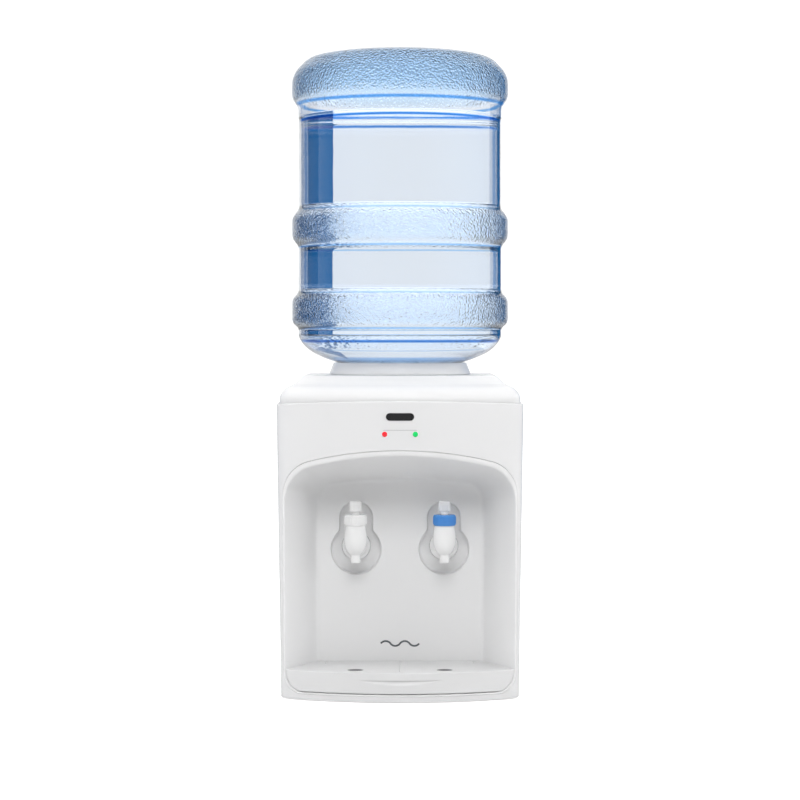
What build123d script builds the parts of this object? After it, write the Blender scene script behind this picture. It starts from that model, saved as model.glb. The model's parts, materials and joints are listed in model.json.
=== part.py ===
from build123d import *
import math
import os

# Countertop water dispenser with an inverted 20-litre bottle, in millimetres.
# The front faces -Y, +X is to the right and the feet stand on Z = 0.

# ---- driving dimensions ----
FRONT_Y = -149.4          # foremost line of the bulged front
CORNER_Y = -112.0         # ends of the front's arc, before the corners are rounded
REAR_Y = 140.0            # outer face of the rear panel
BACKMOST_Y = 150.0        # end of the drain cap, the rearmost point
HALF_WIDTH_TOP = 151.0
HALF_WIDTH_FOOT = 146.0
SKIRT_Z = 1.6             # lower edge of the shells
EDGE_Z = 360.5            # upper edge of the shells at the sides
CROWN = 4.3               # how much higher that edge is at the middle of the front
PLATEAU_Z = 395.0         # flat top of the cover
WALL = 3.0                # thickness of the shells
SHELL_SPLIT_Y = -96.0     # joint between the front fascia and the side panels
REAR_SPLIT_X = 118.0      # joint between the side panels and the rear panel
CORNER_R = 22.0
GAP = 0.2                 # shadow gap at each joint between shells

ALCOVE_BACK_Y = -35.0
ALCOVE_BACK_HALF = 104.0
ALCOVE_BACK_TOP = 265.0
ALCOVE_FLOOR_Z = 10.5
ALCOVE_FRONT_Y = -160.0   # plane in front of the object where the alcove's outline is drawn
ALCOVE_FRONT_HALF = 161.5
ALCOVE_FRONT_TOP = 302.0
LINER_T = 2.5

BOTTLE_R = 136.0
BOTTLE_WALL = 1.6
BOTTLE_TOP_Z = 798.6
NECK_R = 27.5
COLLAR_Z = 409.9          # upper rim of the bottle seat

TAP_X = 55.0
TAP_Y = -72.0
TAP_SHANK_Z = 193.0
POCKET_DEPTH = 12.0
FAN_Z = 256.0
FAN_HALF = 46.0
LED_X = 18.4
LED_Z = 325.0

TANK_FRONT_Y = 10.0
TANK_REAR_Y = 74.0
TANK_Z = 214.0
TANK_HALF = 70.0
BOWL_Z = 300.0
BOWL_R = 84.0
HOSE_HOLE_R = 9.5
TANK_OUTLET_Y = 42.0      # where the cold hose and the drain hose leave the tank
ROOM_HOSE_X = -108.0      # upright run of the room-temperature hose
ROOM_HOSE_Y = 22.0
ROOM_OUTLET_Z = 340.0
SIDES = {"left": -1, "right": 1}

os.makedirs("parts", exist_ok=True)


def save(builder, name):
    """Label a finished sub-part and write it as one STEP file."""
    builder.part.label = name
    export_step(builder.part, f"parts/{name}.step")


# ---- shared shapes ----
def half_width(z):
    """Half of the cabinet's width at a height, with the slight draft of the mouldings."""
    share = (z - SKIRT_Z) / (EDGE_Z - SKIRT_Z)
    return HALF_WIDTH_FOOT + (HALF_WIDTH_TOP - HALF_WIDTH_FOOT) * share


def plan_outline(z, inset, corner_r=CORNER_R):
    """Horizontal section of the cabinet: bulged front, straight sides, flat rear."""
    half = half_width(min(z, EDGE_Z)) - inset
    with BuildSketch(Plane.XY.offset(z)) as outline:
        with BuildLine():
            ThreePointArc((-half, CORNER_Y + inset), (0, FRONT_Y + inset), (half, CORNER_Y + inset))
            Polyline(
                (half, CORNER_Y + inset),
                (half, REAR_Y - inset),
                (-half, REAR_Y - inset),
                (-half, CORNER_Y + inset),
            )
        make_face()
        fillet(outline.vertices(), corner_r)
    return outline.sketch


def cabinet_space(inset, low, high):
    """The cabinet's outer volume, moved inwards by an inset, between two heights."""
    corner_r = max(CORNER_R - inset, 4)
    with BuildPart() as space:
        loft([plan_outline(low, inset, corner_r), plan_outline(high, inset, corner_r)])
    return space.part


def upright_arch(y, half, floor, spring, top, foot_r, head_r):
    """Upright outline of the alcove on one plane: flat floor, low arched roof, round corners."""
    with BuildSketch(Plane.XZ.offset(-y)) as arch:
        with BuildLine():
            Polyline((-half, spring), (-half, floor), (half, floor), (half, spring))
            ThreePointArc((half, spring), (0, top), (-half, spring))
        make_face()
        fillet(arch.vertices().sort_by(Axis.Y)[:2], foot_r)
        fillet(arch.vertices().sort_by(Axis.Y)[-2:], head_r)
    return arch.sketch


def alcove_space(side, roof, floor, behind):
    """The pouring alcove's volume, widening and rising to the front, with margins added to it."""
    back = upright_arch(
        ALCOVE_BACK_Y + behind, ALCOVE_BACK_HALF + side, ALCOVE_FLOOR_Z - floor,
        ALCOVE_BACK_TOP - 9 + roof, ALCOVE_BACK_TOP + roof, 16, 24,
    )
    front = upright_arch(
        ALCOVE_FRONT_Y, ALCOVE_FRONT_HALF + side, ALCOVE_FLOOR_Z - floor,
        ALCOVE_FRONT_TOP - 17 + roof, ALCOVE_FRONT_TOP + roof, 34, 52,
    )
    with BuildPart() as space:
        loft([back, front])
    return space.part


def pocket_outline(x, margin, y):
    """Upright outline of a tap pocket: a narrow arch standing on a round dish."""
    arch_half = 21 + margin
    dish_z = 176.0
    arch_top = 236.5
    with BuildSketch(Plane.XZ.offset(-y)) as pocket:
        with Locations((x, dish_z)):
            Circle(31.5 + margin)
        with Locations((x, (dish_z + arch_top - 21) / 2)):
            Rectangle(2 * arch_half, arch_top - 21 - dish_z)
        with Locations((x, arch_top - 21)):
            Circle(arch_half)
    return pocket.sketch


shell_outer = cabinet_space(0, SKIRT_Z, EDGE_Z + 12)
shell_inner = cabinet_space(WALL, SKIRT_Z - 1, EDGE_Z + 13)
with BuildPart() as shell_ring:
    add(shell_outer)
    add(shell_inner, mode=Mode.SUBTRACT)


def crown_cut():
    """Everything above the gently arched upper edge of the front."""
    reach = HALF_WIDTH_TOP + 10
    with BuildPart() as cut:
        with BuildSketch(Plane.XZ.offset(170)):
            with BuildLine():
                ThreePointArc((-reach, EDGE_Z - 0.6), (0, EDGE_Z + CROWN), (reach, EDGE_Z - 0.6))
                Polyline(
                    (reach, EDGE_Z - 0.6), (reach, EDGE_Z + 40),
                    (-reach, EDGE_Z + 40), (-reach, EDGE_Z - 0.6),
                )
            make_face()
        extrude(amount=-330)
    return cut.part


# ---- cabinet shells ----
LIP_SIDE = 3.0            # width of the alcove's rolled rim at the sides
LIP_ROOF = 6.5            # and over the top
with BuildPart() as front_fascia:
    add(shell_ring.part)
    split(bisect_by=Plane.XZ.offset(-SHELL_SPLIT_Y + GAP), keep=Keep.TOP)
    add(crown_cut(), mode=Mode.SUBTRACT)
    add(alcove_space(LIP_SIDE, LIP_ROOF, LINER_T, LINER_T), mode=Mode.SUBTRACT)
    with BuildSketch(Plane.XZ.offset(-FRONT_Y + 1)):
        with Locations((0, LED_Z - 1.5)):
            SlotOverall(46, 11)
    extrude(amount=-2, mode=Mode.SUBTRACT)
    with Locations(Plane.XZ.offset(-FRONT_Y + 1)):
        with Locations((-LED_X, LED_Z), (LED_X, LED_Z)):
            Hole(3.0, 12)
save(front_fascia, "front_fascia")

for side_name, side in SIDES.items():
    with BuildPart() as side_panel:
        add(shell_ring.part)
        with Locations((side * (REAR_SPLIT_X + 100), (SHELL_SPLIT_Y + REAR_Y + 20) / 2, EDGE_Z / 2)):
            Box(200, REAR_Y + 20 - SHELL_SPLIT_Y, EDGE_Z, mode=Mode.INTERSECT)
    save(side_panel, f"{side_name}_side_panel")

DRAIN_Z = 60.0
LOUVRE_Z = 110.0          # middle of the lower louvres
SCREW_Z = 186.0           # middle of the four rear screws
SCREW_SPAN_X = 216.0
SCREW_SPAN_Z = 300.0
SWITCH_X = 70.0
SWITCH_Z = 60.0
INLET_X = -70.0
INLET_Z = 45.0
with BuildPart() as rear_panel:
    with Locations((0, REAR_Y - LINER_T / 2, (8 + EDGE_Z) / 2)):
        Box(2 * (REAR_SPLIT_X - GAP), LINER_T, EDGE_Z - 8)
    with BuildSketch(Plane.XZ.offset(-REAR_Y)):
        with Locations((0, FAN_Z)):
            with GridLocations(44, 7.5, 2, 12):
                SlotOverall(38, 3.4)
        with Locations((0, LOUVRE_Z)):
            with GridLocations(44, 7.5, 4, 4):
                SlotOverall(38, 3.4)
        with Locations((0, DRAIN_Z)):
            Circle(9.2)
        with Locations((INLET_X, INLET_Z)):
            Circle(8.2)
        with Locations((SWITCH_X, SWITCH_Z)):
            Rectangle(28.2, 13.2)
    extrude(amount=LINER_T, mode=Mode.SUBTRACT)
    with Locations(Plane.XZ.offset(-REAR_Y)):
        with GridLocations(SCREW_SPAN_X, SCREW_SPAN_Z, 2, 2):
            with Locations((0, SCREW_Z)):
                Hole(1.8, LINER_T)
save(rear_panel, "rear_panel")

COVER_SECTIONS = ((357.5, 3.4), (367.5, 3.7), (374.5, 6), (380.5, 12), (384.8, 21), (PLATEAU_Z, 33))
COVER_HOLE_R = 79.0
with BuildPart() as top_cover:
    loft([plan_outline(z, inset, 18) for z, inset in COVER_SECTIONS], ruled=True)
    with BuildPart(mode=Mode.PRIVATE) as cover_hollow:
        loft([plan_outline(z - 2.6, inset + 2.6, 15) for z, inset in COVER_SECTIONS], ruled=True)
    add(cover_hollow.part, mode=Mode.SUBTRACT)
    with Locations((0, 0, PLATEAU_Z)):
        Hole(COVER_HOLE_R, 60)
save(top_cover, "top_cover")

PLATE_Z = 5.5
FOOT_SPOTS = ((-100, -104), (100, -104), (-108, 106), (108, 106))
with BuildPart() as base_plate:
    with BuildSketch(Plane.XY.offset(PLATE_Z)):
        add(plan_outline(0, 3.4 + WALL, 16))
    extrude(amount=ALCOVE_FLOOR_Z - LINER_T - PLATE_Z)
    with Locations((0, 40, PLATE_Z)):
        with GridLocations(30, 12, 5, 3):
            Hole(2.5, 10)
save(base_plate, "base_plate")

with BuildPart() as rubber_feet:
    with BuildSketch():
        with Locations(*FOOT_SPOTS):
            Circle(9)
    extrude(amount=PLATE_Z, taper=-8)
save(rubber_feet, "rubber_feet")

# ---- alcove ----
with BuildPart() as alcove_liner:
    add(alcove_space(LINER_T, LINER_T, LINER_T, LINER_T))
    add(shell_inner, mode=Mode.INTERSECT)
    with BuildPart(mode=Mode.PRIVATE) as rolled_rim:
        add(alcove_space(LIP_SIDE - GAP, LIP_ROOF - GAP, LINER_T - GAP, LINER_T))
        add(shell_ring.part, mode=Mode.INTERSECT)
        with BuildSketch(Plane.XZ.offset(-SHELL_SPLIT_Y)):
            Rectangle(400, 800)
        extrude(amount=60, mode=Mode.INTERSECT)
    add(rolled_rim.part)
    for tap_side in SIDES.values():
        with BuildSketch(Plane.XZ.offset(-ALCOVE_BACK_Y)):
            add(pocket_outline(tap_side * TAP_X, LINER_T, 0))
        extrude(amount=-POCKET_DEPTH - LINER_T)
    add(alcove_space(0, 0, 0, 0), mode=Mode.SUBTRACT)
    for tap_side in SIDES.values():
        with BuildSketch(Plane.XZ.offset(-ALCOVE_BACK_Y + 1)):
            add(pocket_outline(tap_side * TAP_X, 0, 0))
        extrude(amount=-POCKET_DEPTH - 1, mode=Mode.SUBTRACT)
        with BuildSketch(Plane.XZ.offset(-ALCOVE_BACK_Y)):
            with Locations((tap_side * TAP_X, TAP_SHANK_Z)):
                Circle(8.3)
        extrude(amount=-40, mode=Mode.SUBTRACT)
save(alcove_liner, "alcove_liner")

MARK_Z = 58.0             # generic wavy line low on the alcove's back
with BuildPart() as wave_mark:
    with BuildSketch(Plane.XZ.offset(-ALCOVE_BACK_Y)):
        with BuildLine():
            for step in range(4):
                start = -24 + 12 * step
                lift = 3 if step % 2 == 0 else -3
                ThreePointArc((start, MARK_Z), (start + 6, MARK_Z + lift), (start + 12, MARK_Z))
        trace(line_width=2.2)
    extrude(amount=0.4)
save(wave_mark, "wave_mark")

BADGE_Z = 346.0
with BuildPart() as front_badge:
    with BuildSketch(Plane.XZ.offset(155)):
        with Locations((0, BADGE_Z)):
            SlotOverall(34, 9)
    extrude(amount=-20)
    add(cabinet_space(-0.6, SKIRT_Z, EDGE_Z), mode=Mode.INTERSECT)
    add(cabinet_space(0, SKIRT_Z, EDGE_Z), mode=Mode.SUBTRACT)
save(front_badge, "front_badge")

for lens_name, lens_x in (("red_indicator", -LED_X), ("green_indicator", LED_X)):
    with BuildPart() as lens:
        with BuildSketch(Plane.XZ.offset(139)):
            with Locations((lens_x, LED_Z)):
                Circle(2.9)
        extrude(amount=10)
        fillet(lens.faces().sort_by(Axis.Y)[0].edges(), 1.2)
    save(lens, lens_name)

with BuildPart() as indicator_board:
    with Locations((0, -138.2, LED_Z)):
        Box(56, 1.6, 16)
save(indicator_board, "indicator_board")

# ---- drip tray ----
TRAY_TOP = 36.4
GRID_Z = 34.0             # underside of the cover plate
TRAY_MID_Y = -90.0
BASIN_FLOOR_Z = 14.0
with BuildPart() as drip_tray:
    with BuildPart(mode=Mode.PRIVATE) as tray_plan:
        add(alcove_space(-0.7, 0, 0, -0.8))
        with Locations((0, TRAY_MID_Y, (ALCOVE_FLOOR_Z + 0.5 + TRAY_TOP) / 2)):
            Box(320, 160, TRAY_TOP - ALCOVE_FLOOR_Z - 0.5, mode=Mode.INTERSECT)
    add(tray_plan.part)
    add(cabinet_space(0, SKIRT_Z, 60), mode=Mode.INTERSECT)
    with BuildPart(mode=Mode.PRIVATE) as basin:
        add(alcove_space(-3.5, 0, 0, -3.6))
        add(cabinet_space(4, SKIRT_Z, 60), mode=Mode.INTERSECT)
        with Locations((0, TRAY_MID_Y, BASIN_FLOOR_Z + 30)):
            Box(320, 160, 60, mode=Mode.INTERSECT)
    add(basin.part, mode=Mode.SUBTRACT)
    with BuildPart(mode=Mode.PRIVATE) as ledge_room:
        add(alcove_space(-2.4, 0, 0, -2.4))
        add(cabinet_space(2.6, SKIRT_Z, 60), mode=Mode.INTERSECT)
        with Locations((0, TRAY_MID_Y, GRID_Z + 30)):
            Box(320, 160, 60, mode=Mode.INTERSECT)
    add(ledge_room.part, mode=Mode.SUBTRACT)
save(drip_tray, "drip_tray")

DRAIN_HOLE_X = 54.5
DRAIN_HOLE_Y = -115.0
RIDGE_FRONT_Y = -122.0
RIDGE_HIGH = 1.0
with BuildPart() as drip_grid:
    add(alcove_space(-2.8, 0, 0, -2.8))
    add(cabinet_space(3, SKIRT_Z, 60), mode=Mode.INTERSECT)
    with Locations((0, TRAY_MID_Y, GRID_Z + 1.2)):
        Box(320, 160, 2.4, mode=Mode.INTERSECT)
    with Locations((0, 0, GRID_Z + 2.4)):
        with Locations((-DRAIN_HOLE_X, DRAIN_HOLE_Y), (DRAIN_HOLE_X, DRAIN_HOLE_Y)):
            Hole(10, 10)
    for ridge_x, ridge_back in ((-92, -92), (0, -50), (92, -92)):
        with Locations((ridge_x, (ridge_back + RIDGE_FRONT_Y) / 2, GRID_Z + 2.2 + RIDGE_HIGH / 2)):
            Box(2.4, ridge_back - RIDGE_FRONT_Y, RIDGE_HIGH + 0.4)
save(drip_grid, "drip_grid")

# ---- bottle and its seat ----
BODY_R = 128.0            # the bottle between its bands


def bottle_outline(wall):
    """Half section of the inverted bottle, moved inwards by a wall thickness."""
    body = BODY_R - wall
    band = BOTTLE_R - wall
    neck = NECK_R - wall
    neck_end = 322.5 if wall == 0 else 321
    route = (
        (0, 785 - wall), (50, 788 - wall), (70, BOTTLE_TOP_Z - wall), (92, 796.2 - wall),
        (116 - wall * 0.7, 791.5 - wall * 0.7), (band, 770.5), (band, 742), (body, 731),
        (body, 603), (band, 592), (band, 565), (body, 556),
        (body, 498), (band, 490), (band, 459), (body, 452),
        (body, 441), (114 - wall * 0.6, 423 + wall * 0.7), (88, 412 + wall), (42, 400 + wall),
        (neck, 386 + wall * 0.6), (neck, neck_end),
    )
    radii = [8, 6, 9, 12, 16, 10, 6, 6, 6, 6, 6, 6, 6, 6, 6, 6, 16, 14, 14, 10]
    with BuildSketch(Plane.XZ) as outline:
        with BuildLine():
            FilletPolyline(*route, radius=radii)
            Polyline((neck, neck_end), (0, neck_end), (0, 785 - wall))
        make_face()
    return outline.sketch


with BuildPart() as bottle:
    revolve(bottle_outline(0), axis=Axis.Z)
    revolve(bottle_outline(BOTTLE_WALL), axis=Axis.Z, mode=Mode.SUBTRACT)
save(bottle, "bottle")


def turned(points):
    """Solid of revolution about the vertical axis from half-section points."""
    with BuildPart() as solid:
        with BuildSketch(Plane.XZ):
            with BuildLine():
                Polyline(*points, close=True)
            make_face()
        revolve(axis=Axis.Z)
    return solid.part


with BuildPart() as bottle_cap:
    add(turned(((13, 320.8), (29.9, 320.8), (29.9, 346), (27.6, 346), (27.6, 322.4), (13, 322.4))))
save(bottle_cap, "bottle_cap")

with BuildPart() as bottle_collar:
    add(turned((
        (10, 316), (36.7, 316), (36.7, 366), (77, 389), (77, PLATEAU_Z + GAP),
        (89, PLATEAU_Z + GAP), (89, 397), (83.6, COLLAR_Z), (80.8, COLLAR_Z),
        (74.7, 390.6), (34.5, 367.6), (34.5, 318.2), (10, 318.2),
    )))
save(bottle_collar, "bottle_collar")

with BuildPart() as feed_probe:
    add(turned((
        (6, 306), (9.6, 306), (9.6, 318.4), (16, 318.4), (16, 320.2), (9.6, 320.2),
        (9.6, 362), (3, 372), (0, 372), (0, 364), (6, 360),
    )))
    with Locations((0, 0, 345)):
        with Locations(Rotation(90, 0, 0), Rotation(90, 90, 0)):
            Cylinder(3, 40, mode=Mode.SUBTRACT)
save(feed_probe, "feed_probe")

# ---- water system ----
with BuildPart() as reservoir:
    with Locations((0, 0, (BOWL_Z + 388) / 2)):
        Cylinder(BOWL_R, 388 - BOWL_Z)
    tank_mid_y = (TANK_FRONT_Y + TANK_REAR_Y) / 2
    tank_deep = TANK_REAR_Y - TANK_FRONT_Y
    with Locations((0, tank_mid_y, (TANK_Z + BOWL_Z + 2) / 2)):
        Box(2 * TANK_HALF, tank_deep, BOWL_Z + 2 - TANK_Z)
    with Locations((0, 0, (BOWL_Z + 2.5 + 390) / 2)):
        Cylinder(BOWL_R - 2.5, 390 - BOWL_Z - 2.5, mode=Mode.SUBTRACT)
    with Locations((0, tank_mid_y, (TANK_Z + 2.5 + BOWL_Z - 6) / 2)):
        Box(2 * TANK_HALF - 5, tank_deep - 5, BOWL_Z - 6 - TANK_Z - 2.5, mode=Mode.SUBTRACT)
    with Locations((0, 38, BOWL_Z)):
        Cylinder(16, 24, mode=Mode.SUBTRACT)
    with Locations((0, TANK_REAR_Y, FAN_Z)):
        Box(56, 12, 56, mode=Mode.SUBTRACT)
    with Locations((TAP_X, TANK_OUTLET_Y, TANK_Z), (0, TANK_OUTLET_Y, TANK_Z)):
        Cylinder(4.5, 20, mode=Mode.SUBTRACT)
    with Locations((-BOWL_R, ROOM_HOSE_Y, ROOM_OUTLET_Z)):
        Cylinder(4.5, 30, rotation=(0, 90, 0), mode=Mode.SUBTRACT)
save(reservoir, "reservoir")

with BuildPart() as separator_disc:
    with BuildSketch(Plane.XY.offset(BOWL_Z + 2.6)):
        Circle(BOWL_R - 3)
        with PolarLocations(62, 8):
            Circle(5, mode=Mode.SUBTRACT)
        with Locations((0, 38)):
            Circle(15, mode=Mode.SUBTRACT)
    extrude(amount=2)
save(separator_disc, "separator_disc")

FOAM = 14.0
for side_name, side in SIDES.items():
    with BuildPart() as foam:
        foam_low = TANK_Z - FOAM
        foam_deep = TANK_REAR_Y - TANK_FRONT_Y + FOAM
        foam_mid_y = TANK_REAR_Y - foam_deep / 2
        with Locations((side * (TANK_HALF + FOAM) / 2, foam_mid_y, (foam_low + BOWL_Z - 1) / 2)):
            Box(TANK_HALF + FOAM - 0.4, foam_deep, BOWL_Z - 1 - foam_low)
        with Locations((0, TANK_FRONT_Y + 40 - GAP, TANK_Z + 60 - GAP)):
            Box(2 * (TANK_HALF + GAP), 80, 120, mode=Mode.SUBTRACT)
        with Locations((TAP_X, TANK_OUTLET_Y, TANK_Z - 10), (0, TANK_OUTLET_Y, TANK_Z - 10)):
            Cylinder(HOSE_HOLE_R, 40, mode=Mode.SUBTRACT)
    save(foam, f"{side_name}_foam_half")

COLD_BLOCK_Y = 68.2
with BuildPart() as cold_block:
    with Locations((0, (COLD_BLOCK_Y + 80) / 2, FAN_Z)):
        Box(55.6, 80 - COLD_BLOCK_Y, 55.6)
save(cold_block, "cold_block")

with BuildPart() as peltier_module:
    with Locations((0, 81.9, FAN_Z)):
        Box(40, 3.8, 40)
save(peltier_module, "peltier_module")

FAN_FRONT_Y = 106.2
FAN_DEEP = 25.0
FAN_HOLES = 82.0
with BuildPart() as heat_sink:
    with Locations((0, 86.4, FAN_Z)):
        Box(2 * FAN_HALF, 5.2, 2 * FAN_HALF)
    with Locations((0, 97.4, FAN_Z)):
        with GridLocations(5.6, 1, 17, 1):
            Box(1.6, 17, 2 * FAN_HALF)
    with Locations(Plane.XZ.offset(-FAN_FRONT_Y)):
        with Locations((0, FAN_Z)):
            with GridLocations(FAN_HOLES, FAN_HOLES, 2, 2):
                Hole(2.1, 30)
save(heat_sink, "heat_sink")

with BuildPart() as fan_frame:
    with BuildSketch(Plane.XZ.offset(-FAN_FRONT_Y)):
        with Locations((0, FAN_Z)):
            RectangleRounded(2 * FAN_HALF, 2 * FAN_HALF, 5)
            Circle(43.5, mode=Mode.SUBTRACT)
            with GridLocations(FAN_HOLES, FAN_HOLES, 2, 2):
                Circle(2.2, mode=Mode.SUBTRACT)
    extrude(amount=-FAN_DEEP)
    with BuildSketch(Plane.XZ.offset(-FAN_FRONT_Y - FAN_DEEP + 3)):
        with Locations((0, FAN_Z)):
            with PolarLocations(32, 4):
                Rectangle(30, 4)
            Circle(19)
    extrude(amount=-3)
save(fan_frame, "fan_frame")

BLADES = 7
with BuildPart() as fan_rotor:
    with BuildSketch(Plane.XZ.offset(-FAN_FRONT_Y - 1)):
        with Locations((0, FAN_Z)):
            Circle(19)
    extrude(amount=-19)
    with Locations(Plane((0, FAN_FRONT_Y + 10.5, FAN_Z), x_dir=(1, 0, 0), z_dir=(0, -1, 0))):
        with PolarLocations(29.5, BLADES):
            Box(24, 20, 1.8, rotation=(38, 0, 0))
save(fan_rotor, "fan_rotor")

with BuildPart() as fan_screws:
    with BuildSketch(Plane.XZ.offset(-FAN_FRONT_Y + 6)):
        with Locations((0, FAN_Z)):
            with GridLocations(FAN_HOLES, FAN_HOLES, 2, 2):
                Circle(1.9)
    extrude(amount=-FAN_DEEP - 8)
    with BuildSketch(Plane.XZ.offset(-FAN_FRONT_Y - FAN_DEEP)):
        with Locations((0, FAN_Z)):
            with GridLocations(FAN_HOLES, FAN_HOLES, 2, 2):
                Circle(3.6)
    extrude(amount=-2.4)
save(fan_screws, "fan_screws")


def hose(name, route, radii, outer_r, bore_r):
    """A silicone hose along straight runs joined by arcs."""
    start = Vector(*route[0])
    heading = Vector(*route[1]) - start
    with BuildPart() as tube:
        with BuildLine() as centre_line:
            FilletPolyline(*route, radius=radii)
        with BuildSketch(Plane(origin=start, z_dir=heading)):
            Circle(outer_r)
            Circle(bore_r, mode=Mode.SUBTRACT)
        sweep(path=centre_line.wires()[0])
    section = math.pi * (outer_r ** 2 - bore_r ** 2)
    print(name, "volume share", round(tube.part.volume / section / centre_line.wires()[0].length, 4))
    save(tube, name)


HOSE_R = 5.6
HOSE_BORE = 3.6
SHANK_END_Y = -8.0        # where the hoses start, pushed over the taps' spigots
hose(
    "room_water_hose",
    (
        (-TAP_X, SHANK_END_Y, TAP_SHANK_Z), (-TAP_X, ROOM_HOSE_Y, TAP_SHANK_Z),
        (ROOM_HOSE_X, ROOM_HOSE_Y, TAP_SHANK_Z), (ROOM_HOSE_X, ROOM_HOSE_Y, ROOM_OUTLET_Z),
        (-BOWL_R - 0.1, ROOM_HOSE_Y, ROOM_OUTLET_Z),
    ),
    (13, 18, 11), HOSE_R, HOSE_BORE,
)
hose(
    "cold_water_hose",
    (
        (TAP_X, SHANK_END_Y, TAP_SHANK_Z), (TAP_X, TANK_OUTLET_Y, TAP_SHANK_Z),
        (TAP_X, TANK_OUTLET_Y, TANK_Z - 1),
    ),
    (14,), HOSE_R, HOSE_BORE,
)
hose(
    "drain_hose",
    ((0, TANK_OUTLET_Y, TANK_Z - 1), (0, TANK_OUTLET_Y, DRAIN_Z), (0, 128, DRAIN_Z)),
    (30,), HOSE_R, HOSE_BORE,
)

with BuildPart() as drain_spigot:
    with BuildSketch(Plane.XZ.offset(-129)):
        with Locations((0, DRAIN_Z)):
            Circle(9)
            Circle(4, mode=Mode.SUBTRACT)
    extrude(amount=-15)
    with BuildSketch(Plane.XZ.offset(-REAR_Y + LINER_T + 2)):
        with Locations((0, DRAIN_Z)):
            Circle(13)
            Circle(8, mode=Mode.SUBTRACT)
    extrude(amount=-2)
save(drain_spigot, "drain_spigot")

with BuildPart() as drain_cap:
    with BuildSketch(Plane.XZ.offset(-REAR_Y - 0.3)):
        with Locations((0, DRAIN_Z)):
            Circle(12)
            Circle(9.3, mode=Mode.SUBTRACT)
    extrude(amount=-BACKMOST_Y + REAR_Y + 0.3)
    with BuildSketch(Plane.XZ.offset(-BACKMOST_Y + 3)):
        with Locations((0, DRAIN_Z)):
            Circle(12)
    extrude(amount=-3)
save(drain_cap, "drain_cap")

# ---- taps ----
PIVOT_Y = TAP_Y + 6
PIVOT_Z = 214.5
BONNET_TOP = 222.5
for side_name, side in SIDES.items():
    x = side * TAP_X
    with BuildPart() as tap_body:
        with BuildSketch(Plane(origin=(x, TAP_Y, 0), x_dir=(1, 0, 0), z_dir=(0, -1, 0))) as section:
            with BuildLine():
                Polyline(
                    (0, 163), (6, 163), (6, 173), (9.3, 175.6), (12.5, 181), (13.8, 188.5),
                    (13.8, 195), (13, 203.5), (12.3, 208.9), (11.2, 208.9), (11.2, 211.2), (0, 211.2),
                    close=True,
                )
            make_face()
        revolve(axis=Axis((x, TAP_Y, 0), (0, 0, 1)))
        with BuildSketch(Plane.XZ.offset(-TAP_Y)):
            with Locations((x, TAP_SHANK_Z)):
                Circle(8)
        extrude(amount=-60)
        with BuildSketch(Plane.XZ.offset(-ALCOVE_BACK_Y - POCKET_DEPTH + 4.6)):
            with Locations((x, TAP_SHANK_Z)):
                Circle(13)
        extrude(amount=-3)
        with BuildSketch(Plane.XZ.offset(12)):
            with Locations((x, TAP_SHANK_Z)):
                Circle(3.4)
        extrude(amount=-12)
        with Locations((x, TAP_Y, 181 + 20)):
            Cylinder(7, 40, mode=Mode.SUBTRACT)
        with Locations((x, TAP_Y, 170)):
            Cylinder(4, 30, mode=Mode.SUBTRACT)
        with BuildSketch(Plane.XZ.offset(-TAP_Y)):
            with Locations((x, TAP_SHANK_Z)):
                Circle(2.4)
        extrude(amount=-80, mode=Mode.SUBTRACT)
    save(tap_body, f"{side_name}_tap_body")

    with BuildPart() as tap_bonnet:
        with BuildSketch(Plane.XY.offset(209.2)):
            with Locations((x, TAP_Y)):
                Circle(14)
        extrude(amount=BONNET_TOP - 209.2)
        fillet(tap_bonnet.faces().sort_by(Axis.Z)[-1].edges(), 1)
        with Locations((x, TAP_Y, 211)):
            Cylinder(11.3, 2 * (BONNET_TOP - 1.4 - 211), mode=Mode.SUBTRACT)
        with Locations((x, PIVOT_Y + 1.7, BONNET_TOP)):
            Box(9.2, 8.4, 8, mode=Mode.SUBTRACT)
        with Locations((x, PIVOT_Y, PIVOT_Z)):
            Cylinder(1.55, 40, rotation=(0, 90, 0), mode=Mode.SUBTRACT)
    save(tap_bonnet, f"{side_name}_tap_bonnet")

    with BuildPart() as tap_lever:
        with Locations((x, PIVOT_Y, PIVOT_Z)):
            Cylinder(2.8, 8.4, rotation=(0, 90, 0))
        with Locations((x, PIVOT_Y, (PIVOT_Z + 226) / 2)):
            Box(8.4, 4, 226 - PIVOT_Z)
        for arm in (-1, 1):
            with Locations((x + arm * 3.3, PIVOT_Y - 4.5, PIVOT_Z)):
                Box(1.8, 9, 1.6)
        with BuildSketch(Plane.XZ.offset(-PIVOT_Y + 2.4)):
            with Locations((x, 232.1)):
                RectangleRounded(15, 13.8, 2)
        extrude(amount=-4.4)
        with Locations((x, PIVOT_Y, PIVOT_Z)):
            Cylinder(1.6, 40, rotation=(0, 90, 0), mode=Mode.SUBTRACT)
    save(tap_lever, f"{side_name}_tap_lever")

    with BuildPart() as tap_stem:
        with Locations((x, TAP_Y, (183 + 216.9) / 2)):
            Cylinder(2, 216.9 - 183)
        with Locations((x, TAP_Y, 216.25)):
            Cylinder(3, 1.3)
    save(tap_stem, f"{side_name}_tap_stem")

    with BuildPart() as tap_seal:
        with BuildSketch(Plane.XY.offset(181.4)):
            with Locations((x, TAP_Y)):
                Circle(5.6)
        extrude(amount=5, taper=10)
        with Locations((x, TAP_Y, 187)):
            Cylinder(2.02, 8, mode=Mode.SUBTRACT)
    save(tap_seal, f"{side_name}_tap_seal")

    with BuildPart() as tap_spring:
        with BuildLine() as coil:
            Helix(pitch=2.6, height=13, radius=4.4, center=(x, TAP_Y, 187.4))
        with BuildSketch(Plane(origin=coil.line @ 0, z_dir=coil.line % 0)):
            Circle(0.4)
        sweep(path=coil.wires()[0])
    save(tap_spring, f"{side_name}_tap_spring")

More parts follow.
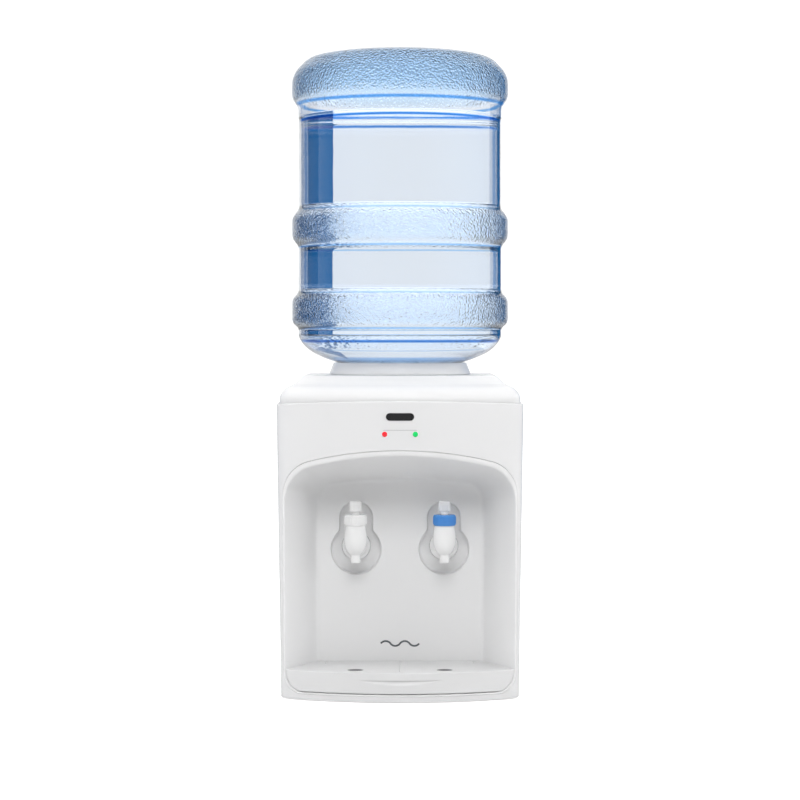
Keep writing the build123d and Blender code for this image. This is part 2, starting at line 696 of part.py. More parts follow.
with BuildPart() as spring_seats:
    for tap_side in SIDES.values():
        with Locations((tap_side * TAP_X, TAP_Y, 207)):
            Cylinder(6.9, 2)
            Cylinder(2.3, 4, mode=Mode.SUBTRACT)
save(spring_seats, "spring_seats")

with BuildPart() as lever_pins:
    for tap_side in SIDES.values():
        with Locations((tap_side * TAP_X, PIVOT_Y, PIVOT_Z)):
            Cylinder(1.5, 22, rotation=(0, 90, 0))
save(lever_pins, "lever_pins")

with BuildPart() as tap_gaskets:
    with BuildSketch(Plane.XZ.offset(-ALCOVE_BACK_Y - POCKET_DEPTH + 1.6)):
        with Locations((-TAP_X, TAP_SHANK_Z), (TAP_X, TAP_SHANK_Z)):
            Circle(12)
            Circle(8.1, mode=Mode.SUBTRACT)
    extrude(amount=-1.6)
save(tap_gaskets, "tap_gaskets")

with BuildPart() as tap_nuts:
    with BuildSketch(Plane.XZ.offset(-ALCOVE_BACK_Y - POCKET_DEPTH - LINER_T)):
        with Locations((-TAP_X, TAP_SHANK_Z), (TAP_X, TAP_SHANK_Z)):
            RegularPolygon(13, 6)
            Circle(8.05, mode=Mode.SUBTRACT)
    extrude(amount=-6)
save(tap_nuts, "tap_nuts")

# ---- electrical pieces ----
BOARD_Z = 20.0
BOARD_X = 62.0
BOARD_Y = 50.0
with BuildPart() as power_board:
    with Locations((BOARD_X, BOARD_Y, BOARD_Z)):
        Box(100, 84, 1.6)
    with Locations((BOARD_X, BOARD_Y, BOARD_Z)):
        with GridLocations(90, 74, 2, 2):
            Hole(1.8, 4)
save(power_board, "power_board")

with BuildPart() as board_standoffs:
    with Locations((BOARD_X, BOARD_Y, (8 + BOARD_Z - 0.8) / 2)):
        with GridLocations(90, 74, 2, 2):
            Cylinder(3.5, BOARD_Z - 0.8 - 8)
save(board_standoffs, "board_standoffs")

with BuildPart() as board_capacitors:
    with Locations((46, BOARD_Y, BOARD_Z + 0.8 + 12)):
        with GridLocations(1, 24, 1, 3):
            Cylinder(8, 24)
save(board_capacitors, "board_capacitors")

with BuildPart() as transformer:
    with Locations((84, BOARD_Y, BOARD_Z + 0.8 + 15)):
        Box(36, 44, 30)
        Box(44, 28, 22)
save(transformer, "transformer")

with BuildPart() as power_inlet:
    with BuildSketch(Plane.XZ.offset(-REAR_Y)):
        with Locations((INLET_X, INLET_Z)):
            Circle(11)
    extrude(amount=-6, taper=12)
    with BuildSketch(Plane.XZ.offset(-REAR_Y + LINER_T + 4)):
        with Locations((INLET_X, INLET_Z)):
            Circle(8)
    extrude(amount=-LINER_T - 4.5)
    with BuildSketch(Plane.XZ.offset(-REAR_Y + 10)):
        with Locations((INLET_X, INLET_Z)):
            Circle(3.4)
    extrude(amount=-20, mode=Mode.SUBTRACT)
save(power_inlet, "power_inlet")

with BuildPart() as switch_frame:
    with BuildSketch(Plane.XZ.offset(-REAR_Y)):
        with Locations((SWITCH_X, SWITCH_Z)):
            RectangleRounded(32, 17, 1.5)
            Rectangle(21.4, 9.4, mode=Mode.SUBTRACT)
    extrude(amount=-1.6)
    with BuildSketch(Plane.XZ.offset(-REAR_Y + 18)):
        with Locations((SWITCH_X, SWITCH_Z)):
            Rectangle(27.8, 12.8)
    extrude(amount=-18)
    with BuildSketch(Plane.XZ.offset(-REAR_Y + 12)):
        with Locations((SWITCH_X, SWITCH_Z)):
            Rectangle(21.4, 9.4)
    extrude(amount=-12, mode=Mode.SUBTRACT)
save(switch_frame, "switch_frame")

ROCKER_TILT = 8.0
ROCKER_PIVOT_Y = REAR_Y - 3
with BuildPart() as switch_rocker:
    with BuildSketch(Plane.XY.offset(SWITCH_Z - 4.4)):
        with Locations(Location((SWITCH_X, ROCKER_PIVOT_Y, 0), (0, 0, ROCKER_TILT))):
            Polygon((-10, -2), (10, -2), (10, 4), (0, 2.4), (-10, 4), align=None)
    extrude(amount=8.8)
save(switch_rocker, "switch_rocker")

# ---- screws ----
with BuildPart() as rear_screws:
    with BuildSketch(Plane.XZ.offset(-REAR_Y)):
        with Locations((0, SCREW_Z)):
            with GridLocations(SCREW_SPAN_X, SCREW_SPAN_Z, 2, 2):
                Circle(3.4)
    extrude(amount=-2)
    with BuildSketch(Plane.XZ.offset(-REAR_Y)):
        with Locations((0, SCREW_Z)):
            with GridLocations(SCREW_SPAN_X, SCREW_SPAN_Z, 2, 2):
                Circle(1.7)
    extrude(amount=10)
save(rear_screws, "rear_screws")
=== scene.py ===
# %% [markdown]
# A countertop water dispenser, made step by step.
# The real object is a white moulded cabinet with a pouring alcove, two lever taps, a pull-out drip tray,
# and an upturned blue 20-litre bottle on a round seat. The solids that move and fit come from a fixed
# frame; these cells give them the shapes and finishes that the eye sees.

# %% Load the frame
import json
import math

import bmesh
import bpy
from mathutils import Matrix, Vector


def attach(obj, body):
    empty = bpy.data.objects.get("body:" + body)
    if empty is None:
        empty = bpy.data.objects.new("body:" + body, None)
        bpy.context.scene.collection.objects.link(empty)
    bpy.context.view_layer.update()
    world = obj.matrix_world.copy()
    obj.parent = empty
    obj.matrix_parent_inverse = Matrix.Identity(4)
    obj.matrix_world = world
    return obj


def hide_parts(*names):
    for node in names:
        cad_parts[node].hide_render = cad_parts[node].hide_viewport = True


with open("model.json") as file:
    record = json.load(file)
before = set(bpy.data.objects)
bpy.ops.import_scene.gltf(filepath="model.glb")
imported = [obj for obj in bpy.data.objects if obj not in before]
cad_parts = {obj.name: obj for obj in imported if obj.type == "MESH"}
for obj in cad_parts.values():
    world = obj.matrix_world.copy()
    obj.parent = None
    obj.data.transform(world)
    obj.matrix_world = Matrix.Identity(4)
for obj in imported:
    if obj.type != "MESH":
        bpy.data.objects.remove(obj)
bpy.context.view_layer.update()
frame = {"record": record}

SIDES = (("left", -1), ("right", 1))

# %% [markdown]
# Every piece is a mesh whose place is in its points, so its object stays at the origin. One helper turns
# points and faces into such a piece, smooths it, names the body it rides on and the finish it takes.

# %% Helper that makes a piece
def piece(name, points, faces, body, slot, finish, smooth=True):
    mesh = bpy.data.meshes.new(name)
    mesh.from_pydata([tuple(p) for p in points], [], faces)
    work = bmesh.new()
    work.from_mesh(mesh)
    bmesh.ops.remove_doubles(work, verts=work.verts, dist=1e-6)
    bmesh.ops.dissolve_degenerate(work, edges=work.edges, dist=1e-7)
    bmesh.ops.recalc_face_normals(work, faces=work.faces)
    work.to_mesh(mesh)
    work.free()
    for face in mesh.polygons:
        face.use_smooth = smooth
    made = bpy.data.objects.new(name, mesh)
    bpy.context.scene.collection.objects.link(made)
    made.data.materials.append(finish)
    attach(made, body)
    return made


# %% [markdown]
# Moulded edges are never sharp. A route is a row of points, and each of its corners can be rounded with a
# small Bezier bend. Many routes side by side make a skin, so one helper gives every shell soft edges.

# %% Helpers that round a route and join routes into a skin
def bend(before, corner, after, reach, steps=4):
    first_run = before - corner
    last_run = after - corner
    reach_in = min(reach, first_run.length * 0.48)
    reach_out = min(reach, last_run.length * 0.48)
    first = corner + first_run.normalized() * reach_in
    last = corner + last_run.normalized() * reach_out
    points = []
    for step in range(steps + 1):
        t = step / steps
        points.append(first * (1 - t) ** 2 + corner * (2 * t * (1 - t)) + last * t ** 2)
    return points


def rounded(points, reaches, steps=4):
    route = [points[0]]
    for index in range(1, len(points) - 1):
        if reaches[index] > 0:
            route += bend(points[index - 1], points[index], points[index + 1], reaches[index], steps)
        else:
            route.append(points[index])
    route.append(points[-1])
    return route


def skin(routes):
    """Join neighbouring routes with faces, all the way round."""
    rows = len(routes[0])
    points = [point for route in routes for point in route]
    faces = []
    for column in range(len(routes)):
        near = column * rows
        far = (column + 1) % len(routes) * rows
        for row in range(rows - 1):
            faces.append((near + row, near + row + 1, far + row + 1, far + row))
    return points, faces


def loops_to_routes(loops):
    return [[loop[index] for loop in loops] for index in range(len(loops[0]))]


def lathe(profile, centre=(0, 0), turns=96):
    """Turn a half section of (radius, height) pairs about an upright axis."""
    routes = []
    for turn in range(turns):
        angle = 2 * math.pi * turn / turns
        across = math.cos(angle)
        along = math.sin(angle)
        routes.append([Vector((centre[0] + r * across, centre[1] + r * along, z)) for r, z in profile])
    return skin(routes)


def rounded_profile(pairs, reaches, steps=5):
    flat = rounded([Vector((r, z, 0)) for r, z in pairs], reaches, steps)
    return [(point.x, point.y) for point in flat]


# %% [markdown]
# Plastics look real when their gloss isn't even. The finish below is one shader with a fine orange-peel
# bump, a slow drift in roughness and a trace of colour change, all measured in metres on the piece.

# %% Node helpers and the moulded plastic finish
def new_finish(name):
    material = bpy.data.materials.new(name)
    material.use_nodes = True
    tree = material.node_tree
    shader = tree.nodes["Principled BSDF"]
    place = tree.nodes.new("ShaderNodeTexCoord")
    return material, tree, shader, place


def noise(tree, place, scale, detail=3.0, roughness=0.5):
    node = tree.nodes.new("ShaderNodeTexNoise")
    node.inputs["Scale"].default_value = scale
    node.inputs["Detail"].default_value = detail
    node.inputs["Roughness"].default_value = roughness
    tree.links.new(place.outputs["Object"], node.inputs["Vector"])
    return node


def spread(tree, source, low, high, low_in=0.3, high_in=0.7):
    node = tree.nodes.new("ShaderNodeMapRange")
    node.inputs["From Min"].default_value = low_in
    node.inputs["From Max"].default_value = high_in
    node.inputs["To Min"].default_value = low
    node.inputs["To Max"].default_value = high
    tree.links.new(source, node.inputs["Value"])
    return node


def mix_in(tree, base, colour, share):
    """Lay a colour over another where a mask is 1; the base is a colour or a socket."""
    node = tree.nodes.new("ShaderNodeMix")
    node.data_type = "RGBA"
    if isinstance(base, tuple):
        node.inputs["A"].default_value = (*base, 1)
    else:
        tree.links.new(base, node.inputs["A"])
    node.inputs["B"].default_value = (*colour, 1)
    tree.links.new(share, node.inputs["Factor"])
    return node.outputs["Result"]


def multiply(tree, first, second):
    node = tree.nodes.new("ShaderNodeMath")
    node.operation = "MULTIPLY"
    tree.links.new(first, node.inputs[0])
    tree.links.new(second, node.inputs[1])
    return node.outputs[0]


def set_inputs(shader, values):
    for label, value in values.items():
        shader.inputs[label].default_value = value


def bump(tree, shader, height, strength, distance, under=None):
    node = tree.nodes.new("ShaderNodeBump")
    node.inputs["Strength"].default_value = strength
    node.inputs["Distance"].default_value = distance
    tree.links.new(height, node.inputs["Height"])
    if under is not None:
        tree.links.new(under.outputs["Normal"], node.inputs["Normal"])
    tree.links.new(node.outputs["Normal"], shader.inputs["Normal"])
    return node


def plastic(name, colour, roughness, peel=0.00002):
    material, tree, shader, place = new_finish(name)
    cloud = noise(tree, place, 9.0, 4.0)
    darker = tuple(c * 0.98 for c in colour)
    tree.links.new(mix_in(tree, darker, colour, cloud.outputs["Fac"]), shader.inputs["Base Color"])
    rub = noise(tree, place, 60.0, 5.0, 0.6)
    gloss = spread(tree, rub.outputs["Fac"], roughness * 0.92, roughness * 1.1)
    tree.links.new(gloss.outputs["Result"], shader.inputs["Roughness"])
    grain = noise(tree, place, 420.0, 2.0)
    bump(tree, shader, grain.outputs["Fac"], 0.25, peel)
    return material


CABINET_WHITE = plastic("cabinet_white", (0.77, 0.77, 0.775), 0.24)
ALCOVE_WHITE = plastic("alcove_white", (0.83, 0.83, 0.833), 0.36)
TRAY_WHITE = plastic("tray_white", (0.75, 0.75, 0.753), 0.36)
PLATE_WHITE = plastic("plate_white", (0.65, 0.65, 0.653), 0.40)
TAP_WHITE = plastic("tap_white", (0.88, 0.88, 0.88), 0.18, peel=0.000006)
TAP_BLUE = plastic("tap_blue", (0.07, 0.28, 0.70), 0.20, peel=0.000006)
BLACK_PLASTIC = plastic("black_plastic", (0.02, 0.02, 0.022), 0.35)
RUBBER = plastic("rubber", (0.03, 0.03, 0.03), 0.65, peel=0.00006)
PRINT_GREY = plastic("print_grey", (0.10, 0.11, 0.12), 0.5)
TANK_WHITE = plastic("tank_white", (0.72, 0.74, 0.76), 0.35)
print("plastics ready")

# %% [markdown]
# The cabinet's plan is a wide arc in front, straight sides and round corners. The alcove's opening has the
# same kind of outline stood upright. One formula makes both: an arc, a corner, a side, a corner, a back.

# %% Outlines shared by the shells
BASE_HALF = 0.146
TOP_HALF = 0.151
SKIRT_Z = 0.0016
EDGE_Z = 0.3605
CROWN = 0.0043
FRONT_Y = -0.1494
CORNER_Y = -0.112
REAR_Y = 0.140
CORNER_R = 0.022
COUNTS = (30, 12, 24, 12, 20)


def arc_and_corner(half, front, corner, corner_r):
    """A wide arc that runs into a round corner: its radius and centre, the corner's centre, the join."""
    sag = corner - front
    arc_r = (half ** 2 + sag ** 2) / (2 * sag)
    arc_mid = front + arc_r
    side = half - corner_r
    drop = arc_mid - math.sqrt((arc_r - corner_r) ** 2 - side ** 2)
    turn = math.atan2(side, arc_mid - drop)
    return arc_r, arc_mid, side, drop, turn


def half_outline(half, front, corner, rear, front_r, rear_r):
    arc_r, arc_mid, side, drop, turn = arc_and_corner(half, front, corner, front_r)
    points = []
    for step in range(COUNTS[0]):
        angle = turn * step / COUNTS[0]
        points.append((arc_r * math.sin(angle), arc_mid - arc_r * math.cos(angle)))
    for step in range(COUNTS[1]):
        angle = turn + (math.pi / 2 - turn) * step / COUNTS[1]
        points.append((side + front_r * math.sin(angle), drop - front_r * math.cos(angle)))
    for step in range(COUNTS[2]):
        points.append((half, drop + (rear - rear_r - drop) * step / COUNTS[2]))
    for step in range(COUNTS[3]):
        angle = math.pi / 2 * step / COUNTS[3]
        points.append((half - rear_r + rear_r * math.cos(angle), rear - rear_r + rear_r * math.sin(angle)))
    for step in range(COUNTS[4] + 1):
        points.append(((half - rear_r) * (1 - step / COUNTS[4]), rear))
    return points


def whole_outline(half_points):
    return half_points + [(-x, y) for x, y in reversed(half_points[1:-1])]


def half_width(z):
    return BASE_HALF + (TOP_HALF - BASE_HALF) * (min(z, EDGE_Z) - SKIRT_Z) / (EDGE_Z - SKIRT_Z)


def plan_loop(z, inset, corner_r=CORNER_R):
    half = half_width(z) - inset
    outline = half_outline(half, FRONT_Y + inset, CORNER_Y + inset, REAR_Y - inset, corner_r, corner_r)
    return [Vector((x, y, z)) for x, y in whole_outline(outline)]


class FrontWall:
    """The bulged front at one height: a wide arc, then a tight corner, then the side."""

    def __init__(self, z):
        self.half = half_width(z)
        shape = arc_and_corner(self.half, FRONT_Y, CORNER_Y, CORNER_R)
        self.arc_r, self.mid, self.side, self.drop, self.turn = shape
        self.arc_len = self.arc_r * self.turn
        self.corner_len = CORNER_R * (math.pi / 2 - self.turn)

    def depth_at(self, x):
        across = min(abs(x), self.half)
        if across <= self.arc_r * math.sin(self.turn):
            return self.mid - math.sqrt(self.arc_r ** 2 - across ** 2)
        return self.drop - math.sqrt(max(CORNER_R ** 2 - (across - self.side) ** 2, 0))

    def travel_at(self, x):
        across = min(abs(x), self.half)
        sign = 1 if x >= 0 else -1
        if across <= self.arc_r * math.sin(self.turn):
            return sign * self.arc_r * math.asin(across / self.arc_r)
        angle = math.asin(min((across - self.side) / CORNER_R, 1))
        return sign * (self.arc_len + CORNER_R * (angle - self.turn))

    def point(self, travel, z, inset):
        sign = 1 if travel >= 0 else -1
        run = abs(travel)
        if run <= self.arc_len:
            angle = run / self.arc_r
            x = (self.arc_r - inset) * math.sin(angle)
            y = self.mid - (self.arc_r - inset) * math.cos(angle)
        elif run <= self.arc_len + self.corner_len:
            angle = self.turn + (run - self.arc_len) / CORNER_R
            x = self.side + (CORNER_R - inset) * math.sin(angle)
            y = self.drop - (CORNER_R - inset) * math.cos(angle)
        else:
            x = self.half - inset
            y = self.drop + run - self.arc_len - self.corner_len
        return Vector((sign * x, y, z))


print("plan outline points", len(plan_loop(EDGE_Z, 0)))

# %% [markdown]
# The alcove widens and rises towards the front. Its walls are straight lines from a small outline at the
# back to a large one in front, and each line is cut where it meets the bulged front of the cabinet.

# %% The alcove's walls
BACK_Y = -0.035
AHEAD_Y = -0.160
FLOOR_Z = 0.0105
RIM_SIDE = 0.003
RIM_ROOF = 0.0065
BACK_HALF = 0.104         # the alcove's half width and lower corner radius at its back
BACK_FOOT_R = 0.016
AHEAD_HALF = 0.1615       # and on a plane in front of the cabinet
AHEAD_FOOT_R = 0.034


def alcove_outline(y, half, spring, top, foot_r, head_r, floor):
    outline = half_outline(half, -top, -spring, -floor, head_r, foot_r)
    return [Vector((x, y, -down)) for x, down in whole_outline(outline)]


def alcove_pair(side, roof, floor):
    low = FLOOR_Z - floor
    back = alcove_outline(BACK_Y, BACK_HALF + side, 0.256 + roof, 0.265 + roof, BACK_FOOT_R, 0.024, low)
    ahead = alcove_outline(AHEAD_Y, AHEAD_HALF + side, 0.285 + roof, 0.302 + roof, AHEAD_FOOT_R, 0.052, low)
    return back, ahead


def cut_at_front(back, ahead, inset):
    low = 0.0
    high = 1.0
    for _ in range(40):
        middle = (low + high) / 2
        point = back.lerp(ahead, middle)
        wall = FrontWall(point.z)
        if abs(point.x) < wall.half - inset and point.y > wall.depth_at(point.x) + inset:
            low = middle
        else:
            high = middle
    return back.lerp(ahead, low)


def alcove_mouth(side, roof, floor, inset):
    back, ahead = alcove_pair(side, roof, floor)
    return [cut_at_front(b, a, inset) for b, a in zip(back, ahead)]


mouth = alcove_mouth(0, 0, 0, 0)
print("alcove mouth", max(p.x for p in mouth) * 2, "wide", max(p.z for p in mouth), "high")

# %% [markdown]
# The front fascia is a ring between the alcove's mouth and the cabinet's own edges. Each point of the mouth
# is paired with one on the outer edge, and the rows between them follow the bulged wall. Both edges turn
# inwards with a small radius, which is what catches the light along the arched top edge.

# %% The front fascia
FASCIA_END_Y = -0.0962
FASCIA_ROWS = 16
WALL = 0.003


def crown_z(x):
    return EDGE_Z + CROWN * (1 - (x / TOP_HALF) ** 2)


def share_index(index):
    """Where a mouth point pairs up on the outer edge: 0-1 top, 1-2 side, 2-3 bottom."""
    top_end = COUNTS[0] + COUNTS[1] / 2
    side_end = COUNTS[0] + COUNTS[1] + COUNTS[2] + COUNTS[3] / 2
    total = sum(COUNTS)
    if index <= top_end:
        return index / top_end
    if index <= side_end:
        return 1 + (index - top_end) / (side_end - top_end)
    return 2 + (index - side_end) / (total - side_end)


def outer_edge(share, sign):
    """Outer edge of the fascia as (travel along the wall, height)."""
    wall = FrontWall(EDGE_Z)
    reach = wall.arc_len + wall.corner_len + FASCIA_END_Y - wall.drop
    if share <= 1:
        travel = reach * share
        across = abs(wall.point(travel, EDGE_Z, 0).x)
        return sign * travel, crown_z(across)
    if share <= 2:
        return sign * reach, EDGE_Z + (SKIRT_Z - EDGE_Z) * (share - 1)
    return sign * reach * (3 - share), SKIRT_Z


def fascia_routes():
    lip = alcove_mouth(RIM_SIDE, RIM_ROOF, 0.0025, 0)
    total = sum(COUNTS)
    routes = []
    for index, point in enumerate(lip):
        sign = 1 if index <= total else -1
        half_index = index if index <= total else 2 * total - index
        travel_out, z_out = outer_edge(share_index(half_index), sign)
        travel_in = FrontWall(point.z).travel_at(point.x)
        rows = []
        for row in range(FASCIA_ROWS + 1):
            part = row / FASCIA_ROWS
            z = point.z + (z_out - point.z) * part
            rows.append((travel_in + (travel_out - travel_in) * part, z))
        first = FrontWall(rows[0][1]).point(*rows[0], WALL)
        last = FrontWall(rows[-1][1]).point(*rows[-1], WALL)
        route = [first] + [FrontWall(z).point(travel, z, 0) for travel, z in rows] + [last]
        reaches = [0, 0.0007] + [0] * (FASCIA_ROWS - 1) + [0.0022, 0]
        routes.append(rounded(route, reaches))
    return routes


points, faces = skin(fascia_routes())
fascia = piece("front_fascia_shell", points, faces, "cabinet", "cabinet_white", CABINET_WHITE)
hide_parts("front_fascia")
print("fascia faces", len(faces))

# %% [markdown]
# The liner is a separate moulding in a slightly greyer white. It starts as a rolled rim inside the fascia's
# opening, runs back along the tapered walls and turns with a soft corner into the flat rear wall, which
# has a hole for each tap pocket. The flat part is filled with triangles round the holes.

# %% Tap pocket outlines
TAP_X = 0.055
DISH_Z = 0.176
DISH_R = 0.0315
ARCH_HALF = 0.021
ARCH_TOP = 0.2365
POCKET_DEEP = 0.012


def pocket_loop(x, grow, y):
    half = ARCH_HALF + grow
    dish = DISH_R + grow
    head = ARCH_TOP - ARCH_HALF
    join = math.atan2(math.sqrt(dish ** 2 - half ** 2), half)
    loop = []
    for step in range(25):
        angle = math.pi * step / 24
        loop.append(Vector((x - half * math.cos(angle), y, head + half * math.sin(angle))))
    for step in range(49):
        angle = join - (math.pi + 2 * join) * step / 48
        loop.append(Vector((x + dish * math.cos(angle), y, DISH_Z + dish * math.sin(angle))))
    return loop


def fill_flat(loops):
    """Fill a flat region between an outer loop and any holes with triangles."""
    work = bmesh.new()
    for loop in loops:
        corners = [work.verts.new(point) for point in loop]
        for index, corner in enumerate(corners):
            work.edges.new((corner, corners[(index + 1) % len(corners)]))
    bmesh.ops.triangle_fill(work, edges=work.edges[:], use_beauty=True)
    work.verts.index_update()
    points = [vert.co.copy() for vert in work.verts]
    faces = [tuple(vert.index for vert in face.verts) for face in work.faces]
    work.free()
    return points, faces


def merge(*parts):
    points = []
    faces = []
    for part_points, part_faces in parts:
        shift = len(points)
        points += part_points
        faces += [tuple(index + shift for index in face) for face in part_faces]
    return points, faces


# %% The alcove liner
def liner_parts():
    lip_out = alcove_mouth(RIM_SIDE - 0.0002, RIM_ROOF - 0.0002, 0.0023, 0)
    lip_deep = alcove_mouth(RIM_SIDE - 0.0002, RIM_ROOF - 0.0002, 0.0023, WALL)
    lip_in = alcove_mouth(0, 0, 0, 0.0012)
    back, _ = alcove_pair(0, 0, 0)
    middle = Vector((0, BACK_Y, 0.14))
    inner = [point + (middle - point).normalized() * 0.014 for point in back]
    routes = []
    for index in range(len(back)):
        front = lip_in[index]
        walls = [front.lerp(back[index], step / 10) for step in range(1, 10)]
        route = [lip_deep[index], lip_out[index], front] + walls + [back[index], inner[index]]
        reaches = [0, 0.001, 0.0028] + [0] * 9 + [0.0125, 0]
        routes.append(rounded(route, reaches, 6))
    last_loop = [route[-1] for route in routes]
    parts = [skin(routes)]
    holes = []
    for sign in (-1, 1):
        edge = pocket_loop(sign * TAP_X, 0.0016, BACK_Y)
        corner = pocket_loop(sign * TAP_X, 0, BACK_Y)
        deep = pocket_loop(sign * TAP_X, -0.0005, BACK_Y + POCKET_DEEP)
        floor = pocket_loop(sign * TAP_X, -0.006, BACK_Y + POCKET_DEEP)
        holes.append(edge)
        routes = [rounded(list(run), [0, 0.0016, 0.004, 0], 5) for run in zip(edge, corner, deep, floor)]
        parts.append(skin(routes))
        parts.append(fill_flat([floor]))
    parts.append(fill_flat([last_loop] + holes))
    return merge(*parts)


points, faces = liner_parts()
liner = piece("alcove_liner_shell", points, faces, "cabinet", "alcove_white", ALCOVE_WHITE)
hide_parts("alcove_liner")
print("liner faces", len(liner.data.polygons))

# %% [markdown]
# The cover rises from inside the shells in a convex slope to a flat plateau, where the bottle's seat drops
# in. Its loops are the cabinet's plan, drawn smaller and smaller; the last loops are circles for the hole.

# %% The top cover
PLATEAU_Z = 0.395
HOLE_R = 0.079
COVER_STEPS = (
    (0.3570, 0.0034, 0.020), (0.3635, 0.0035, 0.019), (0.3700, 0.0038, 0.019), (0.3755, 0.0068, 0.018),
    (0.3805, 0.0120, 0.016), (0.3845, 0.0210, 0.013), (0.3885, 0.0262, 0.011), (PLATEAU_Z, 0.0325, 0.010),
)


def cover_routes():
    loops = [plan_loop(z, inset, corner_r) for z, inset, corner_r in COVER_STEPS]
    rim = loops[-1]
    middle = Vector((0, 0, PLATEAU_Z))
    hole = [middle + Vector((point.x, point.y, 0)).normalized() * HOLE_R for point in rim]
    lower = [point - Vector((0, 0, 0.004)) for point in hole]
    half_way = [a.lerp(b, 0.5) for a, b in zip(rim, hole)]
    loops += [half_way, hole, lower]
    reaches = [0, 0.002, 0.003, 0.003, 0.004, 0.0016, 0.002, 0.0022, 0, 0.001, 0]
    return [rounded(route, reaches, 3) for route in loops_to_routes(loops)]


points, faces = skin(cover_routes())
cover = piece("top_cover_shell", points, faces, "cabinet", "cabinet_white", CABINET_WHITE)
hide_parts("top_cover")
print("cover faces", len(faces))

# %% [markdown]
# The seat under the bottle is a white ring: a sloped rim outside, a funnel inside, and a deep well that
# takes the bottle's neck. It is a lathe piece, like the bottle.

# %% The bottle's seat
SEAT = (
    (0.0345, 0.3185), (0.0345, 0.3676), (0.0747, 0.3906), (0.0812, 0.4094), (0.0838, 0.4096),
    (0.0888, 0.3975), (0.0890, 0.3953), (0.0775, 0.3953), (0.0770, 0.3890), (0.0367, 0.3665),
    (0.0367, 0.3162),
)
SEAT_ROUNDS = (0, 0.003, 0.004, 0.0008, 0.0008, 0.0006, 0.0003, 0.0006, 0.002, 0.003, 0)
seat_profile = rounded_profile(SEAT, SEAT_ROUNDS)
points, faces = lathe(seat_profile + [(0.010, 0.3162), (0.010, 0.3185), seat_profile[0]], turns=128)
seat = piece("bottle_seat_ring", points, faces, "bottle_seat", "cabinet_white", CABINET_WHITE)
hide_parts("bottle_collar")
print("seat faces", len(faces))

# %% [markdown]
# The bottle is blown polycarbonate: clear blue walls, three wide bands that stiffen it, and a round shoulder.
# It is turned on a lathe, with an outer and an inner skin joined at the mouth, so light bends in a real
# wall and the tint deepens where the eye looks along the wall, at the edges. The bands and the domed end
# carry a pebbled texture and a bluer tint of painted shade; both are masked by height and the same all the way
# round.

# %% The bottle's outline
BAND_R = 0.136
BODY_R = 0.1280
BOTTLE_TURNS = 176
BOTTLE_WALL = 0.0016
LONGEST_RUN = 0.012


def bottle_outline(wall):
    body = BODY_R - wall
    band = BAND_R - wall
    neck = 0.0275 - wall
    pairs = [
        (0, 0.7850 - wall), (0.050, 0.7880 - wall), (0.070, 0.7982 - wall), (0.092, 0.7962 - wall),
        (0.1160 - wall * 0.7, 0.7915 - wall * 0.7), (band, 0.7705), (band, 0.7420), (body, 0.7300),
        (body, 0.7160), (body - 0.0009, 0.7145), (body - 0.0009, 0.6040),
        (band, 0.5915), (band, 0.5660), (body, 0.5560),
        (body, 0.4985), (band, 0.4895), (band, 0.4600), (body, 0.4530),
        (body, 0.4400), (0.1140 - wall * 0.6, 0.4240 + wall * 0.7), (0.0880, 0.4125 + wall),
        (0.0420, 0.4000 + wall), (neck, 0.3860 + wall * 0.6), (neck, 0.3225),
    ]
    rounds = [
        0, 0.014, 0.010, 0.010, 0.009, 0.012, 0.006, 0.005, 0.001, 0.001, 0.004,
        0.005, 0.005, 0.004, 0.004, 0.005, 0.005, 0.003, 0.012, 0.012, 0.012, 0.012, 0.008, 0,
    ]
    return rounded_profile(pairs, rounds, 7)


def fine(profile):
    """Divide long runs so that the surface can carry a bump evenly."""
    dense = [profile[0]]
    for (r0, z0), (r1, z1) in zip(profile, profile[1:]):
        count = max(1, math.ceil(math.hypot(r1 - r0, z1 - z0) / LONGEST_RUN))
        for step in range(1, count + 1):
            dense.append((r0 + (r1 - r0) * step / count, z0 + (z1 - z0) * step / count))
    return dense


outer = fine(bottle_outline(0))
inner = fine(bottle_outline(BOTTLE_WALL))
print("bottle outline points", len(outer) + len(inner))

# %% The clear blue finish
BANDS = ((0.7405, 0.8000), (0.5600, 0.5980), (0.4565, 0.4935))


def height_window(tree, height, low, high, soft=0.003):
    """1 between two heights, 0 outside, with soft ends."""
    rise = spread(tree, height, 0, 1, low - soft, low + soft)
    fall = spread(tree, height, 1, 0, high - soft, high + soft)
    return multiply(tree, rise.outputs["Result"], fall.outputs["Result"])


# Thin darker rings, all the way round, where the wall bends: they stand in for lines of refraction.
EDGE_LINES = (
    (0.7335, 0.0018, (0.16, 0.45, 0.88)), (0.7125, 0.0017, (0.04, 0.25, 0.70)),
    (0.6005, 0.0008, (0.45, 0.70, 0.95)), (0.5545, 0.0010, (0.35, 0.62, 0.93)),
    (0.4965, 0.0008, (0.45, 0.70, 0.95)), (0.4530, 0.0010, (0.35, 0.62, 0.93)),
    (0.4370, 0.0016, (0.05, 0.25, 0.70)), (0.4140, 0.0030, (0.40, 0.62, 0.92)),
)


def absorb(tree, colour, density):
    tint = tree.nodes.new("ShaderNodeVolumeAbsorption")
    tint.inputs["Color"].default_value = (*colour, 1)
    tint.inputs["Density"].default_value = density
    tree.links.new(tint.outputs["Volume"], tree.nodes["Material Output"].inputs["Volume"])


def band_mask(tree, height):
    mask = None
    for low, high in BANDS:
        window = height_window(tree, height, low, high)
        if mask is None:
            mask = window
            continue
        joined = tree.nodes.new("ShaderNodeMath")
        joined.operation = "MAXIMUM"
        tree.links.new(mask, joined.inputs[0])
        tree.links.new(window, joined.inputs[1])
        mask = joined.outputs[0]
    return mask


